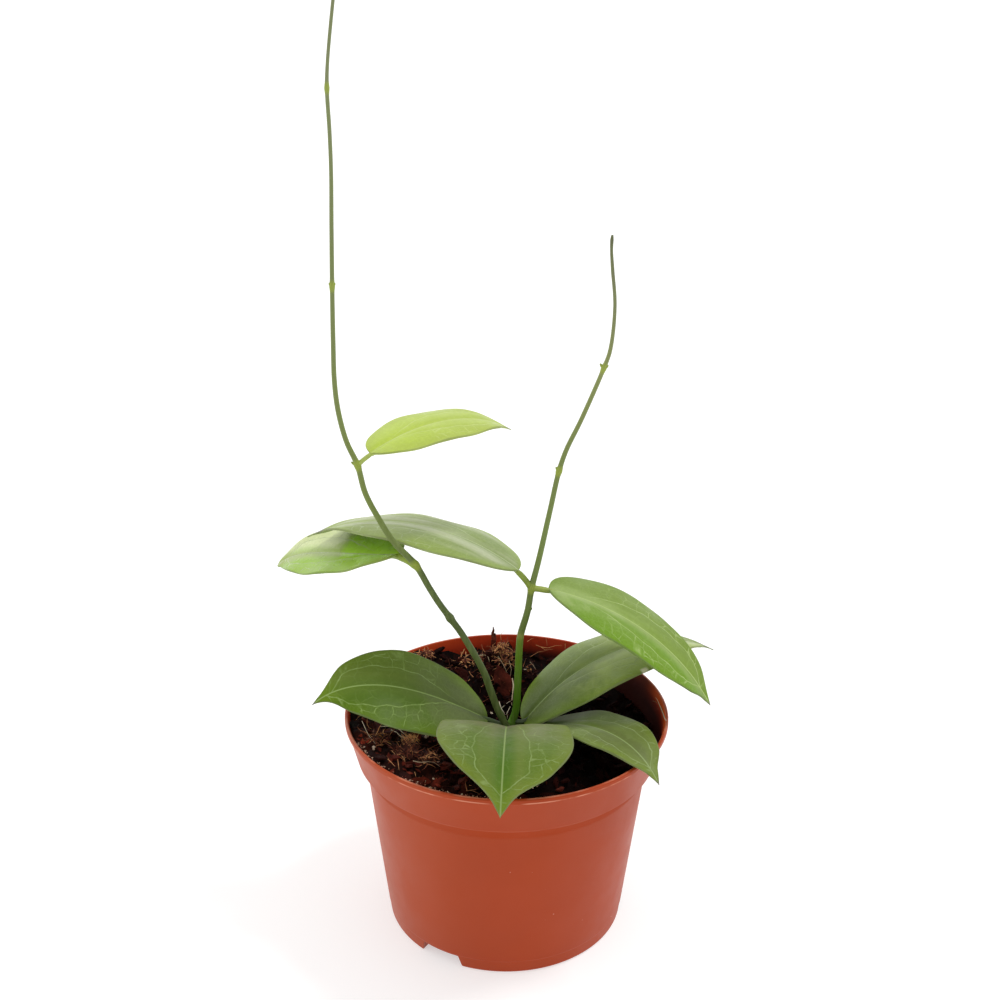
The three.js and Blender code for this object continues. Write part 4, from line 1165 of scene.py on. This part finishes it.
def blade_row(name, leaf, midrib, t, phase):
    """A row's middle, its sideways and upward ways, its half width, and its two side veins."""
    veins = []
    for knots in SIDE_VEINS.get(name, (SIDE_VEIN, SIDE_VEIN)):
        behind, ahead = (side_vein_reach(knots, near, phase) * outline_reach(leaf, near)
                         for near in (t - 0.01, t + 0.01))
        slope = (ahead - behind) / (0.02 * leaf["length"])
        veins.append((side_vein_reach(knots, t, phase), 1 / math.hypot(1, slope)))
    return midrib.at(t), *midrib.ways(t), outline_reach(leaf, t), veins


def make_blade(name, leaf, seed):
    """A flat grid with a thickness, whose corners are laid along the midrib and marked for the veins."""
    deselect_all()
    bpy.ops.mesh.primitive_grid_add(
        x_subdivisions=BLADE_COLUMNS, y_subdivisions=BLADE_ROWS, size=2, calc_uvs=True)
    blade = bpy.context.object
    modify(blade, "SOLIDIFY", thickness=0.1, offset=0)
    midrib = Midrib(leaf)
    flat = corners_of(blade)
    count = len(flat)
    places = np.empty((count, 3))
    laid = np.empty((count, 2))
    marks = {key: np.empty(count) for key in ("midrib", "side_vein", "margin", "along", "under")}
    draw = random.Random(seed)
    phase, wave = draw.uniform(0, 6), draw.uniform(2.2, 3.2)
    rows = {}
    for i, (x, y, z) in enumerate(flat):
        # Columns stand closer towards the margins, and rows towards both ends
        share = -math.copysign(1 - (1 - min(1, abs(x))) ** 1.5, x)
        even = (y + 1) / 2
        t = min(1.0, max(0.0, (even + (1 - math.cos(math.pi * even)) / 2) / 2))
        key = round(t, 5)
        if key not in rows:
            rows[key] = blade_row(name, leaf, midrib, t, phase)
        place, side, up, reach, veins = rows[key]
        across = reach * (share + leaf["skew"] * abs(share))
        height = leaf["fold"] * abs(across) - leaf["arch"] * across * across / (leaf["width"] / 2)
        margin = reach * (1 - abs(share))
        thick = (BLADE_THICKNESS - BLADE_THINNING * share * share) / 2 * min(1, 0.25 + reach / 2.4)
        rounding = min(MARGIN_ROUNDING, 0.5 * reach)
        inward = min(1.0, margin / rounding)
        edge = math.sqrt(max(0.0, 1 - (1 - inward) ** 2))
        turn = 2 * math.pi * wave * t + phase + (1.3 if share > 0 else 0)
        waves = BLADE_WAVES * share * share * math.sin(turn)
        waves *= smooth(t, 0.02, 0.2) * (1 - smooth(t, 0.85, 1))
        vein_share, squareness = veins[0 if share < 0 else 1]
        vein = (abs(share) - vein_share) * reach * squareness
        if z > 0:
            groove = dent(GROOVE[0] * (1 - t), GROOVE[1], across)
            offset = -thick + thick * edge - groove * edge - dent(*VEIN_GROOVE, vein) * edge
        else:
            keel = dent(KEEL[0] * (1 - t), KEEL[1], across)
            offset = -thick - thick * edge - keel * edge
        places[i] = place + side * across + up * (height + offset + waves * edge)
        laid[i] = (0.5 + across / 100, t * leaf["length"] / 100)
        values = (across, vein, margin, t, 0.0 if z > 0 else 1.0)
        for column, value in zip(marks.values(), values):
            column[i] = value
    move_corners(blade, places * MM)
    for key, values in marks.items():
        mark(blade, key, values)
    loops = np.empty(len(blade.data.loops), np.int32)
    blade.data.loops.foreach_get("vertex_index", loops)
    blade.data.uv_layers[0].name = "blade_map"
    blade.data.uv_layers[0].data.foreach_set("uv", laid[loops].astype(np.float32).ravel())
    blade.name = name
    return blade, midrib


def make_petiole(name, leaf, midrib):
    """The petiole leaves the stem, roots under the blade and thins out along the midrib's back."""
    start = Vector(leaf["springs"])
    sunk = leaf["petiole"] * 0.62 + 0.25
    into = midrib.at(0) - midrib.ways(0)[1] * sunk
    reach = (into - start).length
    second = start.lerp(into, 0.4) + Vector(leaf.get("bow", (0, 0, 0)))
    third = into - midrib.way(0) * 0.3 * reach
    root = 4 / leaf["length"]
    end = midrib.at(root) - midrib.ways(root)[1] * (sunk + 0.05)
    places, radii = [], []
    for i in range(15):
        s = i / 14
        b = [(1 - s) ** 3, 3 * s * (1 - s) ** 2, 3 * s * s * (1 - s), s ** 3]
        places.append(start * b[0] + second * b[1] + third * b[2] + end * b[3])
        flare = 1 + 0.16 * (1 - smooth(s, 0, 0.3))
        radii.append(leaf["petiole"] * (1 - 0.45 * smooth(s, 0.6, 1)) * flare)
    for i in range(1, 16):
        t = root + (0.8 - root) * i / 15
        places.append(midrib.at(t) - midrib.ways(t)[1] * (sunk + 0.1 + (0.4 - sunk) * i / 15))
        radii.append(leaf["petiole"] * (0.55 - 0.45 * (i / 15) ** 0.8))
    return tube(name, places, radii, 12)


def vein_lines(finish, laid, along, margin, across):
    """The midrib, a long vein on each side of it, and closed loops between that and the margin."""
    tremble = finish.times(finish.math("SUBTRACT", finish.noise(laid, 55, 2), 0.5), 0.7)
    side = finish.math("ADD", finish.attribute("side_vein"), tremble)
    beside = finish.add("CombineXYZ", {"X": side, "Y": finish.times(finish.split(laid)[1], 92.0),
                                       "Z": finish.math("GREATER_THAN", across, 0.0)})
    flow = finish.add("TexNoise", {"Vector": laid, "Scale": 26.0, "Detail": 2.0}, output="Color")
    bend = finish.add("VectorMath", {0: flow, 1: (1.6, 1.6, 0.0)}, operation="MULTIPLY")
    bent = finish.add("VectorMath", {0: beside, 1: bend}, operation="ADD")
    loops = finish.cells(bent, 0.18, "DISTANCE_TO_EDGE", 0.65)
    meshes = finish.cells(bent, 0.52, "DISTANCE_TO_EDGE", 0.9)
    clear = finish.step(finish.noise(laid, 26, 2), 0.4, 0.6, 0.3, 1.0)
    outside = finish.times(finish.step(side, 0.0, 0.5), finish.step(margin, 0.6, 2.0))
    lines = finish.step(finish.math("ABSOLUTE", across), 0.1, 0.42, 1.0, 0.0)
    for more in (
            finish.times(finish.step(finish.math("ABSOLUTE", side), 0.06, 0.34, 0.9, 0.0),
                         finish.step(clear, 0.3, 1.0, 0.6, 1.0), finish.step(along, 0.1, 0.35)),
            finish.times(finish.step(loops, 0.01, 0.045, 0.7, 0.0), outside, clear,
                         finish.step(along, 0.15, 0.5)),
            finish.times(finish.step(loops, 0.01, 0.045, 0.13, 0.0), clear),
            finish.times(finish.step(meshes, 0.02, 0.09, 0.1, 0.0), outside)):
        lines = finish.math("MAXIMUM", lines, more)
    return lines


def leaf_finish(name, heart, blade, edge, vein, streak, dull=0.4, shine=0.3, lit_and_shaded_halves=(), rim=0.75,
                heart_reach=(0.12, 0.62), dry=0.965, dust=0.0, satin=None, scar=None):
    finish = Finish(name)
    laid = finish.add("UVMap", uv_map="blade_map")
    along, margin = finish.attribute("along"), finish.attribute("margin")
    across, under = finish.attribute("midrib"), finish.attribute("under")
    clouds = finish.noise(laid, 9, 4, 0.6)
    ragged = finish.math("ADD", along, finish.times(finish.math("SUBTRACT", clouds, 0.5), 0.5))
    # The heart near the base: where it is greyer, that is partly the leaf's own grey and partly painted sheen
    colour = finish.blend(finish.step(ragged, *heart_reach), heart, blade)
    greener = finish.times(finish.step(margin, 0.5, 7.5, rim, 0.0), finish.step(clouds, 0.3, 0.6, 0.4, 1.0))
    colour = finish.blend(greener, colour, edge)
    colour = finish.blend(finish.step(along, 0.72, 1.0, 0.0, 0.6), colour, edge)
    # Painted sheen: pale streaks along the blade stand in for the satin reflection
    drawn = finish.noise(finish.stretched(laid, 1, 0.08, 1), 15, 2, 0.5)
    sheen = finish.times(finish.step(drawn, 0.44, 0.64), finish.step(margin, 1.5, 6.0, 0.0, streak))
    colour = finish.blend(sheen, colour, satin or mixed(heart, vein, 0.3))
    # Painted light and shade: each half beside the midrib is tinted paler or darker as light falls on it
    for sign, tint, most, begins, ends in lit_and_shaded_halves:
        half = finish.step(finish.times(across, float(sign)), 0.8, 5.5, 0.0, most)
        over = finish.times(half, finish.step(ragged, begins, ends), finish.step(drawn, 0.35, 0.6, 0.75, 1.0))
        colour = finish.blend(over, colour, tint)
    mottle = finish.step(finish.noise(laid, 70, 4, 0.6), 0.4, 0.75, 0.0, 0.3)
    colour = finish.blend(mottle, colour, (1.35, 1.35, 1.35), "MULTIPLY")
    lines = vein_lines(finish, laid, along, margin, across)
    colour = finish.blend(finish.times(lines, finish.step(under, 0.4, 0.6, 1.0, 0.35)), colour, vein)

    # Pale specks, the thin margin's painted shade, the dry end, the torn place and the paler underside
    specks = finish.specks(laid, 85, 0.04, 0.12, 0.6, 31, 0.6 - dust)
    colour = finish.blend(specks, colour, [min(1.0, c) for c in scaled(vein, 1.5)])
    # Painted shade: the thin margin is darkened grey where the blade's edge turns from the light
    colour = finish.blend(finish.step(margin, 0.15, 0.55, 0.45, 0.0), colour, MARGIN_SHADE)
    colour = finish.blend(finish.step(along, dry, dry + 0.03, 0.0, 0.85), colour, DRY_TINT)
    if scar:
        sign, spot = scar
        off = finish.math("ABSOLUTE", finish.math("SUBTRACT", along, spot))
        torn = finish.times(finish.step(finish.times(across, float(sign)), 0.0, 1.0),
                            finish.step(margin, 0.9, 2.4, 1.0, 0.0), finish.step(off, 0.008, 0.02, 1.0, 0.0))
        colour = finish.blend(torn, colour, TORN_TINT)
    colour = finish.blend(finish.step(under, 0.4, 0.6, 0.0, 0.7), colour, mixed(edge, vein, 0.45))
    rough = finish.step(clouds, 0.3, 0.7, dull - 0.05, dull + 0.08)
    relief = finish.bump(finish.times(lines, -1.0), 0.35, 0.0003, finish.bump(clouds, 0.25, 0.0012))
    relief = finish.bump(finish.noise(laid, 260, 3), 0.12, 0.0002, relief)
    return finish.set(Base_Color=colour, Roughness=rough, Normal=relief, Specular_IOR_Level=shine)


def petiole_finish(name, colour):
    finish = Finish(name)
    grain = finish.noise(finish.place(), 260, 3)
    shade = finish.ramp(grain, (0.3, scaled(colour, 0.8)), (0.7, scaled(colour, 1.2)))
    rough = finish.step(grain, 0.3, 0.7, 0.4, 0.58)
    relief = finish.bump(grain, 0.2, 0.0002)
    return finish.set(Base_Color=shade, Roughness=rough, Normal=relief, Specular_IOR_Level=0.45)


# Studio
def studio_finish(colour, glow):
    """White acrylic lit softly from below, as on a product table."""
    finish = Finish("studio_acrylic")
    grain = finish.noise(finish.place(), 35, 4)
    shade = finish.ramp(grain, (0.3, scaled(colour, 0.99)), (0.7, colour))
    rough = finish.step(grain, 0.3, 0.7, 0.85, 0.95)
    relief = finish.bump(grain, 0.02, 0.0005)
    return finish.set(Base_Color=shade, Roughness=rough, Normal=relief, Specular_IOR_Level=0.2,
                      Emission_Color=(1, 1, 1, 1), Emission_Strength=glow)


def add_key_light(strength):
    """A wide, far light that falls alike on the whole floor."""
    light = bpy.data.lights.new("key_light", "SUN")
    light.energy = strength
    light.angle = math.radians(KEY_SPREAD)
    lamp = add_object("key_light", light)
    way = Vector(direction(math.radians(KEY_BEARING), math.radians(KEY_HEIGHT)))
    lamp.location = way
    lamp.rotation_euler = (-way).to_track_quat("-Z", "Y").to_euler()


def add_camera(focal_length):
    """The photograph's camera. It looks level along +Y before its pitch and roll."""
    lens = bpy.data.cameras.new("photo_camera")
    lens.lens = focal_length
    lens.sensor_width = SENSOR_WIDTH
    lens.clip_end = VIEW_REACH
    camera = add_object("photo_camera", lens)
    pitch = Matrix.Rotation(math.radians(90 - CAMERA_PITCH), 4, "X")
    roll = Matrix.Rotation(math.radians(CAMERA_ROLL), 4, "Z")
    camera.matrix_world = Matrix.Translation(mm(*CAMERA_PLACE)) @ (pitch @ roll)
    bpy.context.scene.camera = camera


def add_surround(front, left, around, overhead):
    """A white surround that is brighter at the left and dimmer overhead and behind the camera."""
    world = bpy.data.worlds.new("white_surround")
    bpy.context.scene.world = world
    world.use_nodes = True
    nodes, links = world.node_tree.nodes, world.node_tree.links
    way = nodes.new("ShaderNodeTexCoord")
    split = nodes.new("ShaderNodeSeparateXYZ")
    links.new(way.outputs["Generated"], split.inputs[0])

    def ease(axis, low, high, at_low, at_high):
        node = nodes.new("ShaderNodeMapRange")
        node.interpolation_type = "SMOOTHSTEP"
        for socket, value in zip(node.inputs[1:5], (low, high, at_low, at_high)):
            if isinstance(value, bpy.types.NodeSocket):
                links.new(value, socket)
            else:
                socket.default_value = value
        links.new(split.outputs[axis], node.inputs[0])
        return node.outputs[0]

    sides = ease("X", -0.9, 0.4, left, around)
    level = ease("Y", -0.95, -0.25, front, sides)
    level = ease("Z", 0.13, 0.2, HORIZON, level)
    links.new(ease("Z", 0.3, 0.9, level, overhead), nodes["Background"].inputs["Strength"])
    nodes["Background"].inputs["Color"].default_value = (1, 1, 1, 1)


class HoyaPotSettings(bpy.types.PropertyGroup):
    sides: IntProperty(name="Sides", description="Flat sides round the pot", default=144, min=24, max=256)
    rounding: FloatProperty(name="Rounding", description="Width of the pot's rounded edges", unit="LENGTH",
                            default=0.0003, min=0.0001, max=0.0005, precision=4)
    colour: FloatVectorProperty(name="Colour", description="Colour of the plastic", subtype="COLOR",
                                default=(0.385, 0.048, 0.008), min=0, max=1)
    # The colour of the painted light on the pot's left side
    painted_light: FloatVectorProperty(name="Painted Light", description="Colour of the plastic's faded side",
                               subtype="COLOR", default=(0.41, 0.07, 0.02), min=0, max=1)
    inside: FloatVectorProperty(name="Inside", description="Colour of the shaded plastic inside",
                                subtype="COLOR", default=(0.42, 0.033, 0.008), min=0, max=1)
    roughness: FloatProperty(name="Roughness", description="How dull the plastic is", subtype="FACTOR",
                             default=0.42, min=0, max=1)


class HoyaMixSettings(bpy.types.PropertyGroup):
    chips: IntProperty(name="Bark Chips", description="Bark chips strewn over the mix", default=480, min=0)
    crumbs: IntProperty(name="Crumbs", description="Small crumbs strewn over the mix", default=1100, min=0)
    fibres: IntProperty(name="Fibres", description="Coir fibres on the mix", default=620, min=0)
    seed: IntProperty(name="Seed", description="Changes how the mix is strewn", default=11)


class HoyaStemSettings(bpy.types.PropertyGroup):
    node_colour: FloatVectorProperty(name="Node Colour", description="Colour of the swollen nodes",
                                     subtype="COLOR", default=(0.31, 0.38, 0.045), min=0, max=1)


class HoyaLeafSettings(bpy.types.PropertyGroup):
    freshness: FloatProperty(name="Freshness", description="Brightness of the leaf stalks",
                             default=1.0, min=0, max=2)


class HoyaStudioSettings(bpy.types.PropertyGroup):
    floor_colour: FloatVectorProperty(name="Floor Colour", description="Colour of the studio table",
                                      subtype="COLOR", default=(0.58, 0.58, 0.58), min=0, max=1)
    glow: FloatProperty(name="Glow", description="Light that the table gives of itself",
                        default=0.52, min=0)
    surround: FloatProperty(name="Surround", description="Brightness of the white surround",
                            default=0.95, min=0)
    left: FloatProperty(name="Left", description="Brightness of the surround at the left",
                        default=1.6, min=0)
    front: FloatProperty(name="Front", description="Brightness of the surround behind the camera",
                         default=0.1, min=0)
    overhead: FloatProperty(name="Overhead", description="Brightness of the surround overhead",
                            default=0.9, min=0)
    key: FloatProperty(name="Key Light", description="Strength of the key light", default=1.0, min=0)
    focal_length: FloatProperty(name="Focal Length", description="Lens of the camera, in millimetres",
                                unit="CAMERA", default=51.09, min=10, max=200)


class HOYA_OT_pot(bpy.types.Operator):
    """Turns the pot, rounds its edges and cuts its drain notches"""

    bl_idname = "hoya.pot"
    bl_label = "Nursery Pot"

    def execute(self, context):
        make_pot(context.scene.hoya_pot)
        return {"FINISHED"}


class HOYA_OT_potting_mix(bpy.types.Operator):
    """Fills the pot with potting mix and strews bark and crumbs over it"""

    bl_idname = "hoya.potting_mix"
    bl_label = "Potting Mix"

    def execute(self, context):
        make_mix(context.scene.hoya_mix)
        return {"FINISHED"}


class HOYA_OT_fibres(bpy.types.Operator):
    """Lays coir fibres and fine roots on the potting mix"""

    bl_idname = "hoya.fibres"
    bl_label = "Fibres and Roots"

    def execute(self, context):
        make_fibres(context.scene.hoya_mix)
        return {"FINISHED"}


class HOYA_OT_stems(bpy.types.Operator):
    """Grows the two stems with their nodes and buds"""

    bl_idname = "hoya.stems"
    bl_label = "Stems"

    def execute(self, context):
        tint = context.scene.hoya_stems.node_colour
        tall = stem_finish("tall_stem_skin", TALL_SKIN, tint)
        short = stem_finish("short_stem_skin", SHORT_SKIN, tint)
        make_stem("tall_vine", TALL_STEM, TALL_BUDS, tall, "stem_tall")
        make_stem("short_vine", SHORT_STEM, SHORT_BUDS, short, "stem_short")
        return {"FINISHED"}


class HOYA_OT_leaves(bpy.types.Operator):
    """Shapes the eight blades with their petioles and veins"""

    bl_idname = "hoya.leaves"
    bl_label = "Leaves"

    def execute(self, context):
        fresh = context.scene.hoya_leaves.freshness
        for seed, (name, leaf) in enumerate(LEAVES.items()):
            tints = dict(LEAF_TINTS[name])
            stalk = scaled(tints.pop("stalk"), fresh)
            blade, midrib = make_blade(name, leaf, seed)
            petiole = make_petiole(name + "_petiole", leaf, midrib)
            petiole.data.materials.append(petiole_finish("stalk_" + name, stalk))
            blade.data.materials.append(leaf_finish("blade_" + name, **tints))
            whole = join([blade, petiole], name + "_leaf")
            pick(whole)
            bpy.ops.object.shade_smooth()
            slot = "young_leaf_green" if name == "young" else "leaf_green"
            hand_over(whole, slot, "leaf_" + name)
        return {"FINISHED"}


class HOYA_OT_studio(bpy.types.Operator):
    """Lays the floor and sets up the lights and the camera"""

    bl_idname = "hoya.studio"
    bl_label = "Studio"

    def execute(self, context):
        studio = context.scene.hoya_studio
        context.scene.view_settings.view_transform = "Standard"
        deselect_all()
        bpy.ops.mesh.primitive_plane_add(size=FLOOR_SIZE, location=(0, 0, 0))
        floor = context.object
        floor.name = "studio_floor"
        settle(floor)
        floor.data.materials.append(studio_finish(studio.floor_colour, studio.glow))
        add_surround(studio.front, studio.left, studio.surround, studio.overhead)
        add_key_light(studio.key)
        add_camera(studio.focal_length)
        return {"FINISHED"}


class HOYA_PT_sidebar(bpy.types.Panel):
    """Lists the pieces of the potted hoya with their settings"""

    bl_label = "Potted Hoya"
    bl_idname = "HOYA_PT_sidebar"
    bl_space_type = "VIEW_3D"
    bl_region_type = "UI"
    bl_category = "Potted Hoya"

    def draw(self, context):
        for operator, settings in PIECES:
            box = self.layout.box()
            box.operator(operator.bl_idname)
            group = getattr(context.scene, settings)
            for name in group.__annotations__:
                box.prop(group, name)


SETTINGS = {
    "hoya_pot": HoyaPotSettings,
    "hoya_mix": HoyaMixSettings,
    "hoya_stems": HoyaStemSettings,
    "hoya_leaves": HoyaLeafSettings,
    "hoya_studio": HoyaStudioSettings,
}
PIECES = [
    (HOYA_OT_pot, "hoya_pot"),
    (HOYA_OT_potting_mix, "hoya_mix"),
    (HOYA_OT_fibres, "hoya_mix"),
    (HOYA_OT_stems, "hoya_stems"),
    (HOYA_OT_leaves, "hoya_leaves"),
    (HOYA_OT_studio, "hoya_studio"),
]
CLASSES = [*SETTINGS.values(), *(operator for operator, _ in PIECES), HOYA_PT_sidebar]


def register():
    for each in CLASSES:
        bpy.utils.register_class(each)
    for name, group in SETTINGS.items():
        setattr(bpy.types.Scene, name, PointerProperty(type=group))


def unregister():
    for name in SETTINGS:
        delattr(bpy.types.Scene, name)
    for each in reversed(CLASSES):
        bpy.utils.unregister_class(each)


def main():
    register()
    bpy.ops.hoya.pot()
    bpy.ops.hoya.potting_mix()
    bpy.ops.hoya.fibres()
    bpy.ops.hoya.stems()
    bpy.ops.hoya.leaves()
    bpy.ops.hoya.studio()


if __name__ == "__main__":
    main()
